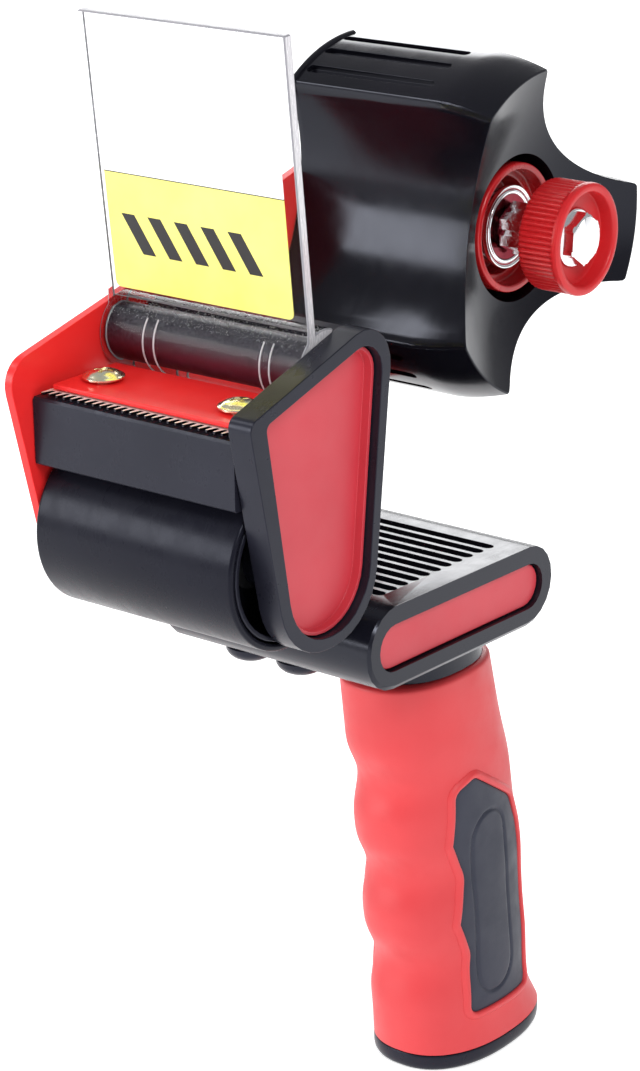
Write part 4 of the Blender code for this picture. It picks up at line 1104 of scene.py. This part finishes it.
# The knob's section from its far face to its recess, as (radius, y, share of the ribs' depth).
knob_profile = (
    (THREAD_HOLE, far_y, 0.0),
    (10.9, far_y, 0.0),
    (11.5, far_y + 0.2, 0.5),
    (11.85, far_y + 0.7, 1.0),
    (11.9, far_y + 1.2, 1.0),
    (11.9, near_y - 2.2, 1.0),
    (11.9, near_y - 1.8, 0.55),
    (11.95, near_y - 1.5, 0.1),
    (12.0, near_y - 1.3, 0.0),
    (12.0, near_y - 0.8, 0.0),
    (11.85, near_y - 0.3, 0.0),
    (11.45, near_y - 0.04, 0.0),
    (11.1, near_y, 0.0),
    (10.7, near_y, 0.0),
    (10.3, near_y - 0.1, 0.0),
    (10.05, near_y - 0.4, 0.0),
    (10.0, near_y - 0.9, 0.0),
    (10.0, KNOB_SEAT + 0.7, 0.0),
    (9.9, KNOB_SEAT + 0.25, 0.0),
    (9.5, KNOB_SEAT, 0.0),
    (THREAD_HOLE, KNOB_SEAT, 0.0),
)
knob_rings = []
for radius, y, ribbed in knob_profile:
    ring = []
    for i in range(KNOB_RIBS * 8):
        wave = 0.5 + 0.5 * math.cos(2 * math.pi * i / 8)
        cut_back = RIB_DEPTH * ribbed * (1.0 - wave**0.6)
        ring.append(about(HUB, radius - cut_back, 360.0 * i / (KNOB_RIBS * 8), y))
    knob_rings.append(ring)
knob = from_rings("knob_body", knob_rings, True, 40.0)
stand_for(knob, "knob", red_plastic, "red_plastic", "tension_knob")

# ---- handle

grip_low, grip_high = low_high("grip")

# The grip's back edge as (z, x) and its half width as (z, half of its Y size).
GRIP_REAR = (
    (4.3, -22.9), (10.0, -19.8), (17.0, -17.8), (34.0, -15.8), (52.0, -14.3), (68.0, -11.7),
    (84.0, -7.2), (98.3, -3.6),
)
GRIP_HALF = ((4.3, 15.4), (12.0, 14.5), (30.0, 14.3), (70.0, 14.0), (98.3, 13.4))

# The grip's front edge is a leaning line with three finger hollows between two heights.
FRONT_FOOT = 22.3
FRONT_SLOPE = 0.133
FINGERS_FOOT = 14.4
FINGERS_TOP = 84.2
FINGER_PITCH = 23.27
FINGER_DEPTH = 3.1

# The exponent of the grip's and the cap's oval section, where 2 is an ellipse.
POWER = 2.3


def smooth_between(table, at):
    """A smooth curve through (place, value) pairs, read at one place."""
    if at <= table[0][0]:
        return table[0][1]
    for i in range(len(table) - 1):
        x0, y0 = table[i]
        x1, y1 = table[i + 1]
        if at <= x1:
            before = table[max(i - 1, 0)]
            after = table[min(i + 2, len(table) - 1)]
            m0 = (y1 - before[1]) / (x1 - before[0])
            m1 = (after[1] - y0) / (after[0] - x0)
            t = (at - x0) / (x1 - x0)
            width = x1 - x0
            return (
                (2 * t**3 - 3 * t**2 + 1) * y0
                + (t**3 - 2 * t**2 + t) * width * m0
                + (3 * t**2 - 2 * t**3) * y1
                + (t**3 - t**2) * width * m1
            )
    return table[-1][1]


def grip_front(z):
    line = FRONT_FOOT + FRONT_SLOPE * z
    if FINGERS_FOOT < z < FINGERS_TOP:
        phase = 2 * math.pi * (z - FINGERS_FOOT) / FINGER_PITCH
        line -= FINGER_DEPTH * (0.5 - 0.5 * math.cos(phase)) ** 1.4
    return line


def grip_section(z):
    """The section's middle X, half length and half width at a height."""
    front = grip_front(z)
    rear = smooth_between(GRIP_REAR, z)
    return (front + rear) / 2, (front - rear) / 2, smooth_between(GRIP_HALF, z)


def grip_side(x, z):
    """Distance of the grip's surface from its middle plane at X and Z."""
    middle, half_x, half_y = grip_section(z)
    share = min(1.0, abs((x - middle) / half_x))
    return half_y * max(0.0, 1.0 - share**POWER) ** (1 / POWER)


def oval_point(middle, half_x, half_y, turn):
    """The (x, y) of a point on an oval section, a share of a turn round it."""
    c = math.cos(2 * math.pi * turn)
    s = math.sin(2 * math.pi * turn)
    return (
        middle + half_x * math.copysign(abs(c) ** (2 / POWER), c),
        half_y * math.copysign(abs(s) ** (2 / POWER), s),
    )


def smoothed_outline(corners, radii, steps):
    """A polygon with an arc of its own radius at each corner."""
    count = len(corners)
    points = []
    for i in range(count):
        here = Vector(corners[i])
        before = (Vector(corners[i - 1]) - here).normalized()
        after = (Vector(corners[(i + 1) % count]) - here).normalized()
        half = math.acos(max(-1.0, min(1.0, before.dot(after)))) / 2
        centre = here + (before + after).normalized() * radii[i] / math.sin(half)
        reach = radii[i] / math.tan(half)
        first = here + before * reach - centre
        last = here + after * reach - centre
        start = math.atan2(first.y, first.x)
        turn = math.atan2(first.x * last.y - first.y * last.x, first.dot(last))
        points += arc(centre, radii[i], math.degrees(start), math.degrees(start + turn), steps)
    return points


# The panel's outline in (x, z), with finger-shaped steps along its front.
PANEL_CORNERS = (
    (13.0, 72.8), (18.7, 70.4), (19.5, 57.8), (15.4, 49.0), (16.9, 37.5), (13.3, 29.0),
    (13.2, 13.2), (-9.4, 12.6), (-9.0, 40.0), (-6.6, 54.5), (-2.5, 62.5),
)
PANEL_RADII = (2.6, 3.0, 0.8, 7.0, 0.8, 7.0, 2.5, 2.0, 10.0, 8.0, 6.0)


def evened(points, step):
    """Add points along the long sides of an outline."""
    dense = []
    count = len(points)
    for i in range(count):
        a = Vector(points[i])
        b = Vector(points[(i + 1) % count])
        parts = max(1, int((b - a).length / step))
        for k in range(parts):
            dense.append(tuple(a + (b - a) * k / parts))
    return dense


panel_edge = evened(smoothed_outline(PANEL_CORNERS, PANEL_RADII, 8), 0.55)


def edge_distance(x, z):
    """Signed distance to the panel's outline: negative inside."""
    best = 1e9
    inside = False
    count = len(panel_edge)
    for i in range(count):
        x0, z0 = panel_edge[i]
        x1, z1 = panel_edge[(i + 1) % count]
        dx, dz = x1 - x0, z1 - z0
        length = dx * dx + dz * dz
        t = max(0.0, min(1.0, ((x - x0) * dx + (z - z0) * dz) / length)) if length else 0.0
        gap = math.hypot(x - x0 - t * dx, z - z0 - t * dz)
        best = min(best, gap)
        if (z0 > z) != (z1 > z) and x < (x1 - x0) * (z - z0) / (z1 - z0) + x0:
            inside = not inside
    return -best if inside else best


POCKET_DROP = 1.5
POCKET_EDGE = 0.5
POCKET_RUN = 0.9


def pocket_depth(gap):
    """How far the grip's skin drops at a distance from the panel's outline."""
    share = max(0.0, min(1.0, (POCKET_EDGE - gap) / POCKET_RUN))
    return -POCKET_DROP * share * share * (3.0 - 2.0 * share)


GRIP_AROUND = 176
GRIP_UP = 190
TOP_ROUND = 1.2
grip_rings = []
for row in range(GRIP_UP + 1):
    z = grip_low.z + (grip_high.z - grip_low.z) * row / GRIP_UP
    under_round = max(0.0, TOP_ROUND - (grip_high.z - z))
    shrink = TOP_ROUND - math.sqrt(TOP_ROUND**2 - under_round**2)
    middle, half_x, half_y = grip_section(z)
    ring = []
    for i in range(GRIP_AROUND):
        x, y = oval_point(middle, half_x - shrink, half_y - shrink, i / GRIP_AROUND)
        angle = 2 * math.pi * i / GRIP_AROUND
        if abs(math.sin(angle)) > 0.25 and 8.0 < z < 80.0:
            rise = pocket_depth(edge_distance(x, z)) if -13.0 < x < 24.0 else 0.0
            slope_x = math.cos(angle) * half_y
            slope_y = math.sin(angle) * half_x
            norm = math.hypot(slope_x, slope_y)
            x += rise * 0.4 * slope_x / norm
            y += rise * math.copysign(max(0.6, abs(slope_y) / norm), slope_y)
        ring.append((x, y, z))
    grip_rings.append(ring)
grip = from_rings("grip_shell", grip_rings, False, 50.0)

# The leaning bore for the handle's core.
BORE_FOOT = 1.0
BORE_SLOPE = 0.14
BORE_HALF = (8.8, 6.8)
bore_rings = [
    [
        (BORE_FOOT + BORE_SLOPE * z + u * BORE_HALF[0], v * BORE_HALF[1], z)
        for u, v in CORNER_SIGNS
    ]
    for z in (0.0, 110.0)
]
cut(grip, [from_rings("grip_bore", bore_rings)])
grip.data.set_sharp_from_angle(angle=math.radians(50.0))
stand_for(grip, "frame", grip_rubber, "red_grip", "grip")

# The oval groove in the panel: the ends of its middle line, and its radius.
OVAL_LOW = (4.2, 22.8)
OVAL_HIGH = (7.2, 56.2)
OVAL_RADIUS = 6.2


def oval_gap(x, z):
    """Distance to the groove's line."""
    run = Vector(OVAL_HIGH) - Vector(OVAL_LOW)
    spot = Vector((x, z)) - Vector(OVAL_LOW)
    t = max(0.0, min(1.0, spot.dot(run) / run.length_squared))
    return abs((spot - run * t).length - OVAL_RADIUS)


# The pad's edge and back lie this deep under the grip's skin, and its face rises from its edge.
PAD_EDGE = 0.15
PAD_BACK = 1.6
PAD_RISE = 0.30
PAD_ROUND = 1.2
GROOVE_DEPTH = 0.45
GROOVE_WIDTH = 0.42


def panel_piece(name, sign, node):
    """A pad whose face follows the grip, with a rounded rim and a sunk oval line."""
    steps = 34
    face = []
    for k in range(steps + 1):
        share = k / steps * CREASE
        ring = []
        for x, z in panel_edge:
            spine_z = max(OVAL_LOW[1], min(60.0, z))
            spine_x = OVAL_LOW[0] + 0.09 * (spine_z - OVAL_LOW[1])
            at_x = x + (spine_x - x) * share
            at_z = z + (spine_z - z) * share
            inward = math.hypot(at_x - x, at_z - z)
            rise = PAD_RISE * min(1.0, inward / PAD_ROUND) ** 0.5
            groove = GROOVE_DEPTH * math.exp(-((oval_gap(at_x, at_z) / GROOVE_WIDTH) ** 2))
            ring.append((at_x, sign * (grip_side(at_x, at_z) - PAD_EDGE + rise - groove), at_z))
        face.append(ring)
    back = [(x, sign * (grip_side(x, z) - PAD_BACK), z) for x, z in panel_edge]
    piece = from_rings(name, [back] + face, False, 45.0)
    stand_for(piece, "frame", panel_rubber, "grey_grip_panel", node)


def grip_normal(x, z):
    """The direction out of the grip's near side."""
    step = 0.2
    slope_x = (grip_side(x + step, z) - grip_side(x - step, z)) / (2 * step)
    slope_z = (grip_side(x, z + step) - grip_side(x, z - step)) / (2 * step)
    return Vector((-slope_x, 1.0, -slope_z)).normalized()


# The lip's section, as (distance out from the panel's outline, height over the grip's skin).
LIP_PROFILE = (
    (-0.15, -1.2), (-0.15, 0.45), (0.25, 0.78), (0.95, 0.78), (1.75, 0.10), (1.9, -0.5),
    (1.9, -1.2),
)


def lip_bead(name, sign):
    """The raised red lip that runs round the panel."""
    profile = softened(LIP_PROFILE, 0.35)
    count = len(panel_edge)
    rings = []
    for i in range(count):
        here = Vector(panel_edge[i])
        run = (Vector(panel_edge[(i + 2) % count]) - Vector(panel_edge[i - 2])).normalized()
        out = Vector((-run.y, run.x))
        ring = []
        for distance, height in profile:
            x, z = here + out * distance
            spot = Vector((x, grip_side(x, z), z)) + grip_normal(x, z) * height
            ring.append((spot.x, sign * spot.y, spot.z))
        rings.append(ring)
    bead = from_rings(name, rings, True, 60.0)
    stand_for(bead, "frame", grip_rubber, "red_grip")


lip_bead("palm_lip_near", 1.0)
lip_bead("palm_lip_far", -1.0)
panel_piece("palm_pad_near", 1.0, "grip_panel_near")
panel_piece("palm_pad_far", -1.0, "grip_panel_far")

cap_low, cap_high = low_high("handle_cap")
cap_half = (cap_high - cap_low) / 2
cap_middle = cap_low.x + cap_half.x

# The cap's section, as (distance in from its widest, z).
CAP_PROFILE = (
    (1.7, 0.0), (1.0, 0.12), (0.45, 0.5), (0.12, 1.1), (0.0, 1.9), (0.0, 3.6), (0.15, 3.9),
    (0.5, 4.0),
)
cap_rings = []
for shrink, z in CAP_PROFILE:
    half_x = cap_half.x - shrink
    half_y = cap_half.y - shrink
    cap_rings.append([(*oval_point(cap_middle, half_x, half_y, i / 128), z) for i in range(128)])
cap = from_rings("foot_cap", cap_rings, False, 40.0)
stand_for(cap, "frame", black_satin, "black_satin_plastic", "handle_cap")

# ---- kept CAD nodes

KEPT = (
    (
        steel,
        (
            *("bar_screw", "crossbar_screw", "front_dowel", "rear_dowel", "roller_axle"),
            *("roller_spacer", "hub_spindle", "frame_tongue", "handle_bolt"),
        ),
    ),
    (
        bush_black,
        ("roller_bush_far", "roller_bush_near", "hub_bush_far", "hub_bush_near", "hub_side_washer"),
    ),
    (felt, ("friction_pad",)),
    (black_satin, ("handle_core",)),
)
for material, names in KEPT:
    for node in names:
        data = nodes[node].data
        data.materials.clear()
        data.materials.append(material)

# ---- studio

floor_shape = bmesh.new()
bmesh.ops.create_grid(floor_shape, x_segments=1, y_segments=1, size=6000.0)
floor = make_object("floor", floor_shape)
pale = Shader(
    "pale_floor", Roughness=0.7, Emission_Color=(1.0, 1.0, 1.0, 1.0), Emission_Strength=0.56
)
pale.color(pale.tones(pale.noise(3.0, 2.0), (0.90, 0.90, 0.90), (0.891, 0.891, 0.891)))
floor.data.materials.append(pale.material)

world = bpy.data.worlds.new("studio")
bpy.context.scene.world = world
world.use_nodes = True
background = world.node_tree.nodes["Background"]
background.inputs["Color"].default_value = (0.96, 0.97, 1.0, 1.0)
background.inputs["Strength"].default_value = 0.40


def soft_light(name, place, size, power):
    """A rectangular light that faces the object."""
    data = bpy.data.lights.new(name, "AREA")
    data.shape = "RECTANGLE"
    data.size = size[0]
    data.size_y = size[1]
    data.energy = power
    lamp = bpy.data.objects.new(name, data)
    bpy.context.scene.collection.objects.link(lamp)
    lamp.location = place
    direction = AIM - Vector(place)
    lamp.rotation_euler = direction.to_track_quat("-Z", "Y").to_euler()


# Lengths from here on are in metres.
AIM = Vector((0.03, 0.0, 0.14))
soft_light("key", (0.9, 1.3, 1.5), (0.8, 0.6), 22.0)
soft_light("back", (-1.7, -1.5, 0.95), (2.6, 0.9), 36.0)
soft_light("front_left", (0.98, -0.70, 0.45), (0.7, 0.42), 7.5)
soft_light("glint", (0.465, -0.754, 1.106), (0.3, 0.3), 2.2)

camera_data = bpy.data.cameras.new("camera")
camera_data.sensor_fit = "VERTICAL"
camera_data.sensor_height = 36.0
camera_data.lens = 103.973
camera = bpy.data.objects.new("camera", camera_data)
bpy.context.scene.collection.objects.link(camera)

# The camera's axes and place, as the columns of its matrix.
right = (-0.614808, 0.788548, -0.014272)
up = (-0.272738, -0.195596, 0.941996)
backward = (0.740017, 0.583039, 0.335322)
place = (0.526021, 0.375893, 0.353017)
camera.matrix_world = Matrix((*zip(right, up, backward, place), (0.0, 0.0, 0.0, 1.0)))
bpy.context.scene.camera = camera
bpy.context.scene.view_settings.view_transform = "Standard"

bpy.context.view_layer.update()
